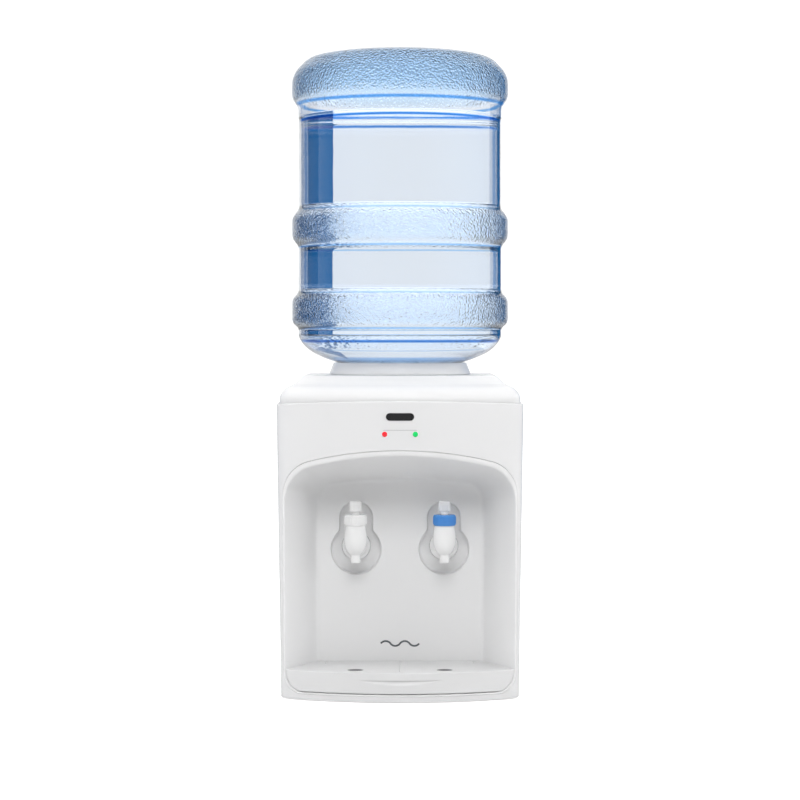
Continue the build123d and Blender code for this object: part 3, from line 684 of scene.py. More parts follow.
def clear_blue():
    material, tree, shader, place = new_finish("bottle_blue")
    split = tree.nodes.new("ShaderNodeSeparateXYZ")
    tree.links.new(place.outputs["Object"], split.inputs["Vector"])
    height = split.outputs["Z"]
    mask = band_mask(tree, height)
    pebble = tree.nodes.new("ShaderNodeTexVoronoi")
    pebble.feature = "SMOOTH_F1"
    set_inputs(pebble, {"Scale": 400.0, "Smoothness": 0.5})
    tree.links.new(place.outputs["Object"], pebble.inputs["Vector"])
    raised = multiply(tree, pebble.outputs["Distance"], mask)
    ripple = noise(tree, place, 16.0, 2.0)
    soft = tree.nodes.new("ShaderNodeBump")
    set_inputs(soft, {"Strength": 0.4, "Distance": 0.0008})
    tree.links.new(ripple.outputs["Fac"], soft.inputs["Height"])
    bump(tree, shader, raised, 0.85, 0.0010, soft)

    # Painted shade: the bands and the domed end are tinted bluer than the rest of the wall.
    tone = mix_in(tree, (0.965, 0.982, 1.0), (0.87, 0.935, 1.0), mask)
    dome = height_window(tree, height, 0.7450, 0.81, 0.006)
    tone = mix_in(tree, tone, (0.68, 0.83, 0.97), dome)
    for middle, half, colour in EDGE_LINES:
        tone = mix_in(tree, tone, colour, height_window(tree, height, middle - half, middle + half, 0.0009))
    flat = tree.nodes.new("ShaderNodeVectorMath")
    flat.operation = "MULTIPLY"
    flat.inputs[1].default_value = (1, 1, 0)
    tree.links.new(place.outputs["Object"], flat.inputs[0])
    reach = tree.nodes.new("ShaderNodeVectorMath")
    reach.operation = "LENGTH"
    tree.links.new(flat.outputs["Vector"], reach.inputs[0])
    # Painted shade: the punt in the middle of the domed end is tinted a darker blue.
    recess = spread(tree, reach.outputs["Value"], 1, 0, 0.030, 0.062)
    tone = mix_in(tree, tone, (0.30, 0.52, 0.90), multiply(tree, recess.outputs["Result"], dome))
    tree.links.new(tone, shader.inputs["Base Color"])
    set_inputs(shader, {
        "Roughness": 0.03, "IOR": 1.50, "Specular IOR Level": 0.2, "Specular Tint": (0.35, 0.65, 1.0, 1),
        "Transmission Weight": 1.0,
    })
    absorb(tree, (0.03, 0.33, 0.78), 42.0)
    return material


BOTTLE_BLUE = clear_blue()
print("bottle finish ready")

# %% The bottle
points, faces = lathe(outer + inner[::-1], turns=BOTTLE_TURNS)
bottle = piece("clear_bottle", points, faces, "bottle", "bottle_blue", BOTTLE_BLUE)
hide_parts("bottle")
bottle.visible_shadow = False
print("bottle faces", len(faces))

# %% [markdown]
# Water fills the bottle to a level just under the top band. It is a closed body a hair smaller than the
# bottle's inside, with its own index of refraction, so it acts as the thick lens that the eye knows.

# %% The water
WATER_TOP = 0.7185


def water():
    inside = [(r, z) for r, z in bottle_outline(0.0018) if z < WATER_TOP]
    top = [(0, WATER_TOP), (inside[0][0] - 0.0004, WATER_TOP)]
    foot = [(inside[-1][0], 0.3235), (0, 0.3235)]
    profile = fine(top + inside[:-1] + foot)
    material, tree, shader, place = new_finish("clear_water")
    wave = noise(tree, place, 22.0, 2.0)
    bump(tree, shader, wave.outputs["Fac"], 0.25, 0.0008)
    set_inputs(shader, {
        "Base Color": (0.96, 0.98, 1.0, 1), "Roughness": 0.0, "IOR": 1.333, "Transmission Weight": 1.0,
    })
    absorb(tree, (0.55, 0.80, 1.0), 0.35)
    points, faces = lathe(profile, turns=BOTTLE_TURNS)
    return piece("water_body", points, faces, "bottle", "bottle_blue", material)


water_body = water()
water_body.visible_shadow = False
print("water faces", len(water_body.data.polygons))

# %% [markdown]
# The drip tray fills the foot of the alcove. Its front follows the cabinet's bulge and has a shallow
# crescent for the fingertips; its lower corners are round, like the alcove's. The cover on top is a plate
# with two drain holes and three low ridges.

# %% Tray outlines
TRAY_LOW = 0.011
TRAY_RIM = 0.0364
GRID_TOP = 0.0366
TRAY_PLAY = 0.0007        # gap between the tray and the alcove's walls
TRAY_COUNTS = (60, 14, 26)


def alcove_half(z, y):
    """Half width of the alcove near its floor, where the lower corners are round."""
    share = (BACK_Y - y) / (BACK_Y - AHEAD_Y)
    full = BACK_HALF + (AHEAD_HALF - BACK_HALF) * share
    corner = BACK_FOOT_R + (AHEAD_FOOT_R - BACK_FOOT_R) * share
    rise = z - FLOOR_Z
    if rise >= corner:
        return full
    return full - corner + math.sqrt(max(corner ** 2 - (corner - rise) ** 2, 0))


def tray_loop(z, margin, front_margin):
    back_y = BACK_Y - 0.0008 - margin
    low = -0.149
    high = back_y
    for _ in range(40):
        y = (low + high) / 2
        half = alcove_half(z, y) - TRAY_PLAY - margin
        if FrontWall(z).depth_at(half) + front_margin < y:
            high = y
        else:
            low = y
    corner_x = alcove_half(z, high) - TRAY_PLAY - margin
    half_points = []
    for step in range(TRAY_COUNTS[0]):
        x = corner_x * step / TRAY_COUNTS[0]
        half_points.append((x, FrontWall(z).depth_at(x) + front_margin))
    for step in range(TRAY_COUNTS[1]):
        y = high + (back_y - high) * step / TRAY_COUNTS[1]
        half_points.append((alcove_half(z, y) - TRAY_PLAY - margin, y))
    back_x = alcove_half(z, back_y) - TRAY_PLAY - margin
    for step in range(TRAY_COUNTS[2] + 1):
        half_points.append((back_x * (1 - step / TRAY_COUNTS[2]), back_y))
    return [Vector((x, y, z)) for x, y in whole_outline(half_points)]


def finger_grip(point):
    """Depth of the crescent recess at a point of the tray's front."""
    half = 0.050
    if abs(point.x) >= half or point.y > -0.12:
        return 0.0
    lift = 1 - (point.x / half) ** 2
    upper = 0.0275
    lower = upper - 0.0065 * lift
    if not lower < point.z < upper:
        return 0.0
    across = (point.z - lower) / (upper - lower)
    return 0.0018 * math.sqrt(lift) * math.sin(math.pi * across ** 2.2)


# %% The drip tray
def tray_routes():
    loops = [tray_loop(TRAY_LOW, 0.003, 0.003)]
    for step in range(45):
        z = TRAY_LOW + 0.0006 + (TRAY_RIM - TRAY_LOW - 0.0006) * step / 44
        loops.append([p + Vector((0, finger_grip(p), 0)) for p in tray_loop(z, 0, 0)])
    loops += [
        tray_loop(TRAY_RIM, 0.0020, 0.0022), tray_loop(0.0342, 0.0024, 0.0026),
        tray_loop(0.0340, 0.0034, 0.0040), tray_loop(0.0150, 0.0036, 0.0042),
        tray_loop(0.0142, 0.0080, 0.0090),
    ]
    reaches = [0, 0.0005] + [0] * 43 + [0.0010, 0.0008, 0, 0.0004, 0.001, 0]
    return [rounded(route, reaches, 4) for route in loops_to_routes(loops)]


routes = tray_routes()
floor_loop = [route[-1] for route in routes]
under_loop = [route[0] for route in routes]
points, faces = merge(skin(routes), fill_flat([floor_loop]), fill_flat([under_loop]))
tray = piece("drip_tray_shell", points, faces, "drip_tray", "alcove_white", TRAY_WHITE)
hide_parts("drip_tray")
print("tray faces", len(tray.data.polygons))

# %% The tray's cover
DRAIN_X = 0.0545
DRAIN_Y = -0.115
DRAIN_R = 0.010


def ring_loop(x, y, radius, z, count=48):
    angles = [2 * math.pi * step / count for step in range(count)]
    return [Vector((x + radius * math.cos(angle), y + radius * math.sin(angle), z)) for angle in angles]


def grid_parts():
    loops = [
        tray_loop(0.0342, 0.0030, 0.0032), tray_loop(GRID_TOP, 0.0030, 0.0032),
        tray_loop(GRID_TOP, 0.0050, 0.0052),
    ]
    routes = [rounded(route, [0, 0.0008, 0], 4) for route in loops_to_routes(loops)]
    holes = []
    parts = [skin(routes)]
    for sign in (-1, 1):
        edge = ring_loop(sign * DRAIN_X, DRAIN_Y, DRAIN_R + 0.0022, GRID_TOP)
        lip = ring_loop(sign * DRAIN_X, DRAIN_Y, DRAIN_R, GRID_TOP - 0.0006)
        deep = ring_loop(sign * DRAIN_X, DRAIN_Y, DRAIN_R - 0.0004, GRID_TOP - 0.0024)
        holes.append(edge)
        parts.append(skin([rounded(list(run), [0, 0.0007, 0], 4) for run in zip(edge, lip, deep)]))
    parts.append(fill_flat([[route[-1] for route in routes]] + holes))
    return merge(*parts)


points, faces = grid_parts()
grid = piece("tray_cover_plate", points, faces, "drip_grid", "alcove_white", PLATE_WHITE)
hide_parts("drip_grid")
print("tray cover faces", len(grid.data.polygons))

# %% [markdown]
# What repeats is grown by Geometry Nodes. The first tree sets copies of a small rounded rib in a ring about
# an upright axis: it takes a count, a radius and a rib size as named inputs, realizes the copies and gives
# them their finish. The result is kept as a plain mesh.

# %% Geometry Nodes: a ring of ribs
def tree_with_inputs(name, inputs):
    tree = bpy.data.node_groups.new(name, "GeometryNodeTree")
    tree.interface.new_socket("Geometry", in_out="INPUT", socket_type="NodeSocketGeometry")
    for label, kind in inputs:
        tree.interface.new_socket(label, in_out="INPUT", socket_type=kind)
    tree.interface.new_socket("Geometry", in_out="OUTPUT", socket_type="NodeSocketGeometry")
    start = tree.nodes.new("NodeGroupInput")
    end = tree.nodes.new("NodeGroupOutput")
    return tree, start, end


def finish_tree(tree, end, geometry, material):
    real = tree.nodes.new("GeometryNodeRealizeInstances")
    paint = tree.nodes.new("GeometryNodeSetMaterial")
    paint.inputs["Material"].default_value = material
    tree.links.new(geometry, real.inputs["Geometry"])
    tree.links.new(real.outputs["Geometry"], paint.inputs["Geometry"])
    tree.links.new(paint.outputs["Geometry"], end.inputs[0])


def socket_id(tree, label):
    for item in tree.interface.items_tree:
        if item.item_type == "SOCKET" and item.in_out == "INPUT" and item.name == label:
            return item.identifier
    raise KeyError(label)


def grow(name, tree, values, body, slot, material, place):
    """Run a tree on an empty mesh and keep what it grows as a plain piece, moved to its place."""
    host = bpy.data.objects.new(name + "_host", bpy.data.meshes.new(name + "_host"))
    bpy.context.scene.collection.objects.link(host)
    modifier = host.modifiers.new("grow", "NODES")
    modifier.node_group = tree
    for label, value in values.items():
        modifier[socket_id(tree, label)] = value
    bpy.context.view_layer.update()
    depsgraph = bpy.context.evaluated_depsgraph_get()
    mesh = bpy.data.meshes.new_from_object(host.evaluated_get(depsgraph), depsgraph=depsgraph)
    bpy.data.objects.remove(host)
    mesh.transform(place)
    made = bpy.data.objects.new(name, mesh)
    bpy.context.scene.collection.objects.link(made)
    if not mesh.materials:
        mesh.materials.append(material)
    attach(made, body)
    return made


def rib_ring_tree(material):
    inputs = (("Count", "NodeSocketInt"), ("Radius", "NodeSocketFloat"), ("Rib", "NodeSocketVector"))
    tree, start, end = tree_with_inputs("rib_ring_" + material.name, inputs)
    ring = tree.nodes.new("GeometryNodeMeshCircle")
    rib = tree.nodes.new("GeometryNodeMeshCube")
    set_inputs(rib, {"Vertices X": 2, "Vertices Y": 2, "Vertices Z": 2})
    soften = tree.nodes.new("GeometryNodeSubdivisionSurface")
    set_inputs(soften, {"Level": 1, "Edge Crease": 0.6})
    place = tree.nodes.new("GeometryNodeInstanceOnPoints")
    spot = tree.nodes.new("GeometryNodeInputPosition")
    aim = tree.nodes.new("FunctionNodeAlignRotationToVector")
    tree.links.new(start.outputs["Count"], ring.inputs["Vertices"])
    tree.links.new(start.outputs["Radius"], ring.inputs["Radius"])
    tree.links.new(start.outputs["Rib"], rib.inputs["Size"])
    tree.links.new(rib.outputs["Mesh"], soften.inputs["Mesh"])
    tree.links.new(ring.outputs["Mesh"], place.inputs["Points"])
    tree.links.new(soften.outputs["Mesh"], place.inputs["Instance"])
    tree.links.new(spot.outputs["Position"], aim.inputs["Vector"])
    aim.axis = "X"
    tree.links.new(aim.outputs["Rotation"], place.inputs["Rotation"])
    finish_tree(tree, end, place.outputs["Instances"], material)
    return tree


print("rib tree ready")

# %% [markdown]
# A dispenser tap is a horizontal shank that ends in an upright barrel. The barrel swells, then narrows to a
# short spout. A ribbed bonnet screws on top: white for room temperature, blue for chilled. The lever's
# thumb tab stands up through it. Each is a solid of its own, because the lever turns in the bonnet.

# %% Tap bodies
TAP_Y = -0.072
SHANK_Z = 0.193
BARREL = (
    (0.0040, 0.1640), (0.0040, 0.1630), (0.0059, 0.1630), (0.0060, 0.1728), (0.0090, 0.1752),
    (0.0124, 0.1806), (0.0143, 0.1880), (0.0144, 0.1948), (0.0134, 0.2030), (0.0124, 0.2090),
    (0.0112, 0.2092), (0.0112, 0.2112), (0.0070, 0.2112),
)
BARREL_ROUNDS = (0, 0.0004, 0.0008, 0.0008, 0.0024, 0.004, 0.003, 0.003, 0.003, 0.0005, 0.0004, 0.0004, 0)
BARREL_INSIDE = [(0.0070, 0.1812), (0.0040, 0.1806), (0.0040, 0.1640)]


def upright_to_shank(points):
    """Turn lathe points from the upright axis to the front-to-back one."""
    return [Vector((p.x, p.z, p.y)) for p in points]


def tap_body(name, x):
    barrel = lathe(rounded_profile(BARREL, BARREL_ROUNDS, 4) + BARREL_INSIDE, (x, TAP_Y), 64)
    flange_y = BACK_Y + POCKET_DEEP - 0.0048
    shank = rounded_profile(
        [(0, TAP_Y + 0.010), (0.0078, TAP_Y + 0.010), (0.0078, flange_y - 0.006), (0.0100, flange_y - 0.0005),
         (0.0129, flange_y), (0.0129, flange_y + 0.0030), (0.0080, flange_y + 0.0032), (0.0080, -0.012),
         (0.0034, -0.0118), (0.0034, -0.0002), (0, 0)],
        [0, 0.0004, 0.004, 0.002, 0.0009, 0.0005, 0.0002, 0.0005, 0.0005, 0.0005, 0], 3)
    tube, tube_faces = lathe(shank, (x, SHANK_Z), 48)
    points, faces = merge(barrel, (upright_to_shank(tube), tube_faces))
    body = piece(name + "_tap_casting", points, faces, "cabinet", "tap_white", TAP_WHITE)
    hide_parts(name + "_tap_body")
    return body


for side_name, sign in SIDES:
    made = tap_body(side_name, sign * TAP_X)
    print(made.name, len(made.data.polygons), "faces")

# %% Tap bonnets with grip ribs
BONNET_LOW = 0.2093
BONNET_TOP = 0.2225
SLOT_HALF_X = 0.0046
SLOT_HALF_Y = 0.0042
PIVOT_Y = TAP_Y + 0.006
PIVOT_Z = 0.2145


def slot_loop(x, z, grow, count):
    """Rounded rectangle where the lever passes, sampled towards each ring point."""
    middle = Vector((x, PIVOT_Y + 0.0017, z))
    loop = []
    for index in range(count):
        angle = 2 * math.pi * index / count
        across = math.cos(angle)
        along = math.sin(angle)
        reach_x = (SLOT_HALF_X + grow) / max(abs(across), 1e-6)
        reach = min(reach_x, (SLOT_HALF_Y + grow) / max(abs(along), 1e-6))
        loop.append(middle + Vector((across * reach, along * reach, 0)))
    return loop


def bonnet(name, x, slot, finish):
    count = 96
    rings = (
        (0.0118, BONNET_LOW), (0.0136, BONNET_LOW), (0.0139, BONNET_TOP - 0.0014), (0.0128, BONNET_TOP),
    )
    loops = [ring_loop(x, TAP_Y, radius, z, count) for radius, z in rings]
    loops.append(slot_loop(x, BONNET_TOP, 0.0004, count))
    loops.append(slot_loop(x, BONNET_TOP - 0.0013, 0, count))
    reaches = [0, 0.0006, 0.0009, 0.0008, 0.0005, 0]
    points, faces = skin([rounded(route, reaches, 3) for route in loops_to_routes(loops)])
    cap = piece(name + "_bonnet_cap", points, faces, "cabinet", slot, finish)
    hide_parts(name + "_tap_bonnet")
    ribs = grow(
        name + "_bonnet_ribs", rib_ring_tree(finish),
        {"Count": 40, "Radius": 0.01375, "Rib": (0.0011, 0.0009, 0.0098)},
        "cabinet", slot, finish, Matrix.Translation((x, TAP_Y, (BONNET_LOW + BONNET_TOP) / 2 - 0.0004)),
    )
    return cap, ribs


BONNET_FINISH = {"left": ("tap_white", TAP_WHITE), "right": ("tap_blue", TAP_BLUE)}
for side_name, sign in SIDES:
    cap, ribs = bonnet(side_name, sign * TAP_X, *BONNET_FINISH[side_name])
    print(cap.name, "with", len(ribs.data.polygons), "rib faces")

# %% [markdown]
# The lever's tab is a small soft-cornered plate with a window sunk into its face. It is built from stacked
# outlines, back to front. Below it are a square neck, a round hub on the pin and two arms for the stem.

# %% Tap levers
TAB_LOW = 0.2253
TAB_TOP = 0.2390


def tab_loop(x, half, low, high, corner, y, count=12):
    loop = []
    for centre_x, centre_z, start in (
        (half - corner, high - corner, 0), (-half + corner, high - corner, 1),
        (-half + corner, low + corner, 2), (half - corner, low + corner, 3),
    ):
        for step in range(count):
            angle = math.pi / 2 * (start + step / (count - 1))
            across = corner * math.cos(angle)
            up = corner * math.sin(angle)
            loop.append(Vector((x + centre_x + across, y, centre_z + up)))
    return loop


def bar(loops):
    """A closed bar from a row of loops, with flat ends."""
    return merge(skin(loops_to_routes(loops)), fill_flat([loops[0]]), fill_flat([loops[-1]]))


def lever(name, x):
    front = PIVOT_Y - 0.0024
    back = PIVOT_Y + 0.0020
    frame_loops = [
        tab_loop(x, 0.0068, TAB_LOW + 0.0005, TAB_TOP - 0.0005, 0.0018, back),
        tab_loop(x, 0.0075, TAB_LOW, TAB_TOP, 0.0022, back - 0.0008),
        tab_loop(x, 0.0075, TAB_LOW, TAB_TOP, 0.0022, front + 0.0008),
        tab_loop(x, 0.0067, TAB_LOW + 0.0008, TAB_TOP - 0.0008, 0.0016, front),
        tab_loop(x, 0.0042, TAB_LOW + 0.0020, TAB_LOW + 0.0080, 0.0008, front),
        tab_loop(x, 0.0038, TAB_LOW + 0.0024, TAB_LOW + 0.0076, 0.0006, front + 0.0007),
    ]
    reaches = [0, 0.0006, 0.0006, 0.0006, 0.0002, 0]
    routes = [rounded(route, reaches, 3) for route in loops_to_routes(frame_loops)]
    tab = merge(skin(routes), fill_flat([[r[-1] for r in routes]]), fill_flat([[r[0] for r in routes]]))
    square = ((1, -1), (1, 1), (-1, 1), (-1, -1))
    neck = bar([
        [Vector((x + 0.0042 * cx, PIVOT_Y + 0.002 * cy, z)) for cx, cy in square]
        for z in (PIVOT_Z + 0.001, 0.2262)
    ])
    half_hub = 0.0042
    section = [
        (0, x - half_hub), (0.0026, x - half_hub), (0.0028, x - 0.0040), (0.0028, x + 0.0040),
        (0.0026, x + half_hub), (0, x + half_hub),
    ]
    hub, hub_faces = lathe(section, (PIVOT_Y, PIVOT_Z), 32)
    hub = [Vector((p.z, p.x, p.y)) for p in hub]
    arms = []
    for arm in (-1, 1):
        middle = x + arm * 0.0033
        arms.append(bar([
            [Vector((middle + 0.0009 * cx, y, PIVOT_Z + 0.0008 * cz)) for cx, cz in square]
            for y in (PIVOT_Y - 0.009, PIVOT_Y)
        ]))
    points, faces = merge(tab, neck, (hub, hub_faces), *arms)
    made = piece(
        name + "_thumb_lever", points, faces, name + "_tap_lever", "tap_white", TAP_WHITE, smooth=False,
    )
    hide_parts(name + "_tap_lever")
    for face in made.data.polygons:
        face.use_smooth = len(face.vertices) == 4
    return made


for side_name, sign in SIDES:
    made = lever(side_name, sign * TAP_X)
    print(made.name, len(made.data.polygons), "faces")

# %% [markdown]
# Behind each spout a round rosette hides the hole where the shank goes through the alcove's back. It is a
# low turned dish, pressed on the pocket's floor.

# %% Rosettes behind the taps
ROSETTE_Z = 0.1800
for side_name, sign in SIDES:
    wall_y = BACK_Y + POCKET_DEEP
    section = rounded_profile(
        [(0, wall_y - 0.0046), (0.0105, wall_y - 0.0046), (0.0150, wall_y - 0.0062),
         (0.0176, wall_y - 0.0050),
         (0.0182, wall_y - 0.0002), (0, wall_y - 0.0002)],
        [0, 0.002, 0.0012, 0.0012, 0, 0], 4)
    points, faces = lathe(section, (sign * TAP_X, ROSETTE_Z), 64)
    made = piece(
        side_name + "_tap_rosette", upright_to_shank(points), faces, "cabinet", "tap_white", TAP_WHITE,
    )
    print(made.name, "radius 18 mm")

# %% [markdown]
# Water leaves the cover through two holes. In each hangs a small strainer: a grey dish with a pattern of
# round perforations. The dish's dark grey and the dark dots are painted shade for the dark inside of the
# holes.
# Geometry Nodes lay the dots on rings, and each dot is a dark, thin disc.

# %% Strainers in the drain holes
STRAINER_Z = GRID_TOP - 0.0030
# Painted shade: the strainer's dark grey stands for the dark inside of each drain hole.
STRAINER_PAINTED_SHADE = plastic("strainer_painted_shade", (0.22, 0.22, 0.225), 0.5)
# Painted shade: each perforation is a thin black disc that stands for the shade inside a hole.
HOLE_PAINTED_SHADE = plastic("hole_painted_shade", (0.03, 0.03, 0.032), 0.8)


def dot_rings_tree(material):
    inputs = (
        ("First radius", "NodeSocketFloat"), ("Step", "NodeSocketFloat"), ("Dot radius", "NodeSocketFloat"),
    )
    tree, start, end = tree_with_inputs("dot_rings", inputs)
    join = tree.nodes.new("GeometryNodeJoinGeometry")
    for ring_number in range(3):
        reach = tree.nodes.new("ShaderNodeMath")
        reach.operation = "MULTIPLY_ADD"
        reach.inputs[1].default_value = ring_number
        tree.links.new(start.outputs["Step"], reach.inputs[0])
        tree.links.new(start.outputs["First radius"], reach.inputs[2])
        ring = tree.nodes.new("GeometryNodeMeshCircle")
        ring.inputs["Vertices"].default_value = 6 * (ring_number + 1)
        tree.links.new(reach.outputs[0], ring.inputs["Radius"])
        tree.links.new(ring.outputs["Mesh"], join.inputs["Geometry"])
    dot = tree.nodes.new("GeometryNodeMeshCylinder")
    dot.inputs["Vertices"].default_value = 16
    dot.inputs["Depth"].default_value = 0.0004
    tree.links.new(start.outputs["Dot radius"], dot.inputs["Radius"])
    place = tree.nodes.new("GeometryNodeInstanceOnPoints")
    tree.links.new(join.outputs["Geometry"], place.inputs["Points"])
    tree.links.new(dot.outputs["Mesh"], place.inputs["Instance"])
    finish_tree(tree, end, place.outputs["Instances"], material)
    return tree


dots = dot_rings_tree(HOLE_PAINTED_SHADE)
for side_name, sign in SIDES:
    spot = (sign * DRAIN_X, DRAIN_Y)
    section = rounded_profile(
        [(0, STRAINER_Z - 0.0008), (DRAIN_R - 0.0006, STRAINER_Z - 0.0008),
         (DRAIN_R - 0.0004, GRID_TOP - 0.0008),
         (DRAIN_R - 0.0012, GRID_TOP - 0.0008), (DRAIN_R - 0.0014, STRAINER_Z), (0, STRAINER_Z)],
        [0, 0.0003, 0.0002, 0.0002, 0.0003, 0], 3)
    points, faces = lathe(section, spot, 48)
    piece(side_name + "_strainer", points, faces, "drip_grid", "alcove_white", STRAINER_PAINTED_SHADE)
    made = grow(
        side_name + "_strainer_shade_dots", dots, {"First radius": 0.0022, "Step": 0.0022, "Dot radius": 0.00065},
        "drip_grid", "alcove_white", HOLE_PAINTED_SHADE, Matrix.Translation((*spot, STRAINER_Z)),
    )
    print(made.name, len(made.data.polygons), "faces")

# %% Ridges on the tray's cover
for name, x, front_y in (("left", -0.092, -0.064), ("middle", 0.0, -0.134), ("right", 0.092, -0.064)):
    stations = (
        (front_y, 0.0004), (front_y + 0.004, 0.0009), (BACK_Y - 0.008, 0.0009), (BACK_Y - 0.004, 0.0004),
    )
    loops = []
    for y, half in stations:
        loops.append([
            Vector((x + half * cx, y, GRID_TOP + (0.0007 if cz else -0.0004)))
            for cx, cz in ((-1.6, 0), (-0.6, 1), (0.6, 1), (1.6, 0))
        ])
    piece(name + "_cover_ridge", *bar(loops), "drip_grid", "alcove_white", PLATE_WHITE, smooth=False)
print("ridges ready")

# %% [markdown]
# Two small round lamps, one red and one green, sit under the badge, below a thin groove drawn as a grey line
# of painted shade. Each is a domed lens that glows a little, in a thin bezel.

# %% Indicator lamps
LED_X = 0.0184
LED_Z = 0.325
LENS_R = 0.0033


def lamp_finish(name, colour):
    material, tree, shader, place = new_finish(name)
    cells = noise(tree, place, 700.0, 2.0)
    bump(tree, shader, cells.outputs["Fac"], 0.3, 0.00005)
    set_inputs(shader, {
        "Base Color": (*colour, 1), "Roughness": 0.15,
        "Emission Color": (*colour, 1), "Emission Strength": 0.25,
    })
    return material


def lamp(name, sign, finish):
    y = FrontWall(LED_Z).depth_at(LED_X)
    dome = [(0, y - 0.0011)]
    for step in range(1, 9):
        angle = math.pi / 2 * step / 8
        dome.append((LENS_R * math.sin(angle), y + 0.0002 - 0.0013 * math.cos(angle)))
    dome += [(LENS_R, y + 0.002), (0.0026, y + 0.002), (0.0026, y + 0.006), (0, y + 0.006)]
    points, faces = lathe(dome, (sign * LED_X, LED_Z), 40)
    made = piece(name, upright_to_shank(points), faces, "cabinet", "led_" + name.split("_")[0], finish)
    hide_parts(name.split("_")[0] + "_indicator")
    bezel_profile = rounded_profile(
        [(LENS_R + 0.0001, y + 0.0010), (LENS_R + 0.0001, y - 0.0003),
         (LENS_R + 0.0006, y - 0.0003), (LENS_R + 0.0009, y + 0.0010)],
        [0, 0.0003, 0.0004, 0], 3)
    points, faces = lathe(bezel_profile + [bezel_profile[0]], (sign * LED_X, LED_Z), 40)
    piece(name + "_bezel", upright_to_shank(points), faces, "cabinet", "alcove_white", ALCOVE_WHITE)
    return made


lamp("red_lamp", -1, lamp_finish("led_red", (0.75, 0.02, 0.03)))
lamp("green_lamp", 1, lamp_finish("led_green", (0.01, 0.55, 0.12)))
print("lamps at height", LED_Z)

# %% The groove over the lamps, drawn as a grey line of painted shade
# Painted shade: a thin grey strip, standing just proud of the front, where the groove's shadow line falls.
GROOVE_PAINTED_SHADE = plastic("groove_painted_shade", (0.40, 0.40, 0.41), 0.5)
GROOVE_Z = 0.3300
groove_shade_loops = []
for share in range(-20, 21):
    x = 0.0205 * share / 20
    y = FrontWall(GROOVE_Z).depth_at(x)
    tip = 0.0003 if abs(share) < 20 else 0.00008
    groove_shade_loops.append([
        Vector((x, y + 0.0006, GROOVE_Z - tip)), Vector((x, y - 0.00012, GROOVE_Z - tip)),
        Vector((x, y - 0.00012, GROOVE_Z + tip)), Vector((x, y + 0.0006, GROOVE_Z + tip)),
    ])
piece("lamp_groove_shade_line", *bar(groove_shade_loops), "cabinet", "cabinet_white", GROOVE_PAINTED_SHADE, smooth=False)
print("groove 41 mm long")

# %% [markdown]
# The nodes that keep their own solid still need a finish: metal with brushing, circuit board, foam, rubber
# and so on. They are dressed in one table.

# %% Finishes for the solids that stay
def metal(name, colour, roughness, stretch=(1, 1, 1)):
    material, tree, shader, place = new_finish(name)
    turn = tree.nodes.new("ShaderNodeMapping")
    turn.inputs["Scale"].default_value = stretch
    tree.links.new(place.outputs["Object"], turn.inputs["Vector"])
    streak = tree.nodes.new("ShaderNodeTexNoise")
    set_inputs(streak, {"Scale": 300.0, "Detail": 4.0})
    tree.links.new(turn.outputs["Vector"], streak.inputs["Vector"])
    gloss = spread(tree, streak.outputs["Fac"], roughness * 0.7, roughness * 1.4)
    tree.links.new(gloss.outputs["Result"], shader.inputs["Roughness"])
    bump(tree, shader, streak.outputs["Fac"], 0.4, 0.00003)
    set_inputs(shader, {"Base Color": (*colour, 1), "Metallic": 1.0})
    return material


STEEL = metal("steel", (0.62, 0.62, 0.63), 0.28)
ALUMINIUM = metal("aluminium", (0.78, 0.79, 0.80), 0.35, (1, 1, 0.08))
IRON_CORE = metal("copper_core", (0.30, 0.24, 0.18), 0.5, (1, 0.1, 1))
SILICONE = plastic("silicone", (0.78, 0.80, 0.80), 0.42)
FOAM = plastic("foam", (0.90, 0.90, 0.88), 0.9, peel=0.0003)
BOARD_GREEN = plastic("board_green", (0.02, 0.14, 0.05), 0.35)
CERAMIC = plastic("ceramic_white", (0.78, 0.78, 0.75), 0.6)
CAP_WHITE = plastic("cap_white", (0.75, 0.80, 0.88), 0.4)
BADGE_BLACK = plastic("badge_black", (0.012, 0.012, 0.013), 0.25, peel=0.00001)
BY_SLOT = {
    "cabinet_white": CABINET_WHITE, "alcove_white": ALCOVE_WHITE,
    "tap_white": TAP_WHITE, "tap_blue": TAP_BLUE,
    "bottle_blue": BOTTLE_BLUE, "cap_white": CAP_WHITE, "badge_black": BADGE_BLACK, "print_grey": PRINT_GREY,
    "board_green": BOARD_GREEN, "rubber": RUBBER, "silicone": SILICONE, "foam": FOAM, "aluminium": ALUMINIUM,
    "ceramic_white": CERAMIC, "black_plastic": BLACK_PLASTIC, "steel": STEEL, "copper_core": IRON_CORE,
    "tank_white": TANK_WHITE,
}
dressed = 0
for part in frame["record"]["subparts"]:
    finish = BY_SLOT.get(part["material_slot"])
    made = bpy.data.objects.get(part["node"])
    if finish is None or made is None or made.type != "MESH":
        continue
    made.data.materials.clear()
    made.data.materials.append(finish)
    dressed += 1
print("dressed", dressed, "solids")

# %% [markdown]
# A pale floor for the eye and a greyer one that bounces the light, a far white wall, a soft sky that is dimmer
# in front than behind, and large soft lamps. Blue cards stand round the bottle, out of view: clear things show
# what is round them, and the cards draw the deep blue down the bottle's edge, as a studio photographer does.

# %% Floor and sky
def staged(name, corners, faces, settings, hidden_from):
    """A piece of the studio: its surface settings, and the kinds of ray that pass it by."""
    mesh = bpy.data.meshes.new(name)
    mesh.from_pydata(corners, [], faces)
    made = bpy.data.objects.new(name, mesh)
    bpy.context.scene.collection.objects.link(made)
    material, tree, shader, place = new_finish(name)
    set_inputs(shader, settings)
    made.data.materials.append(material)
    for kind in hidden_from:
        setattr(made, "visible_" + kind, False)


def floor_plane(name, height, base, glow, hidden_from):
    half = 30.0
    corners = [(-half, -half, height), (half, -half, height), (half, half, height), (-half, half, height)]
    staged(name, corners, [(0, 1, 2, 3)], {
        "Base Color": (base, base, base, 1), "Roughness": 0.6,
        "Emission Color": (1, 1, 1, 1), "Emission Strength": glow,
    }, hidden_from)


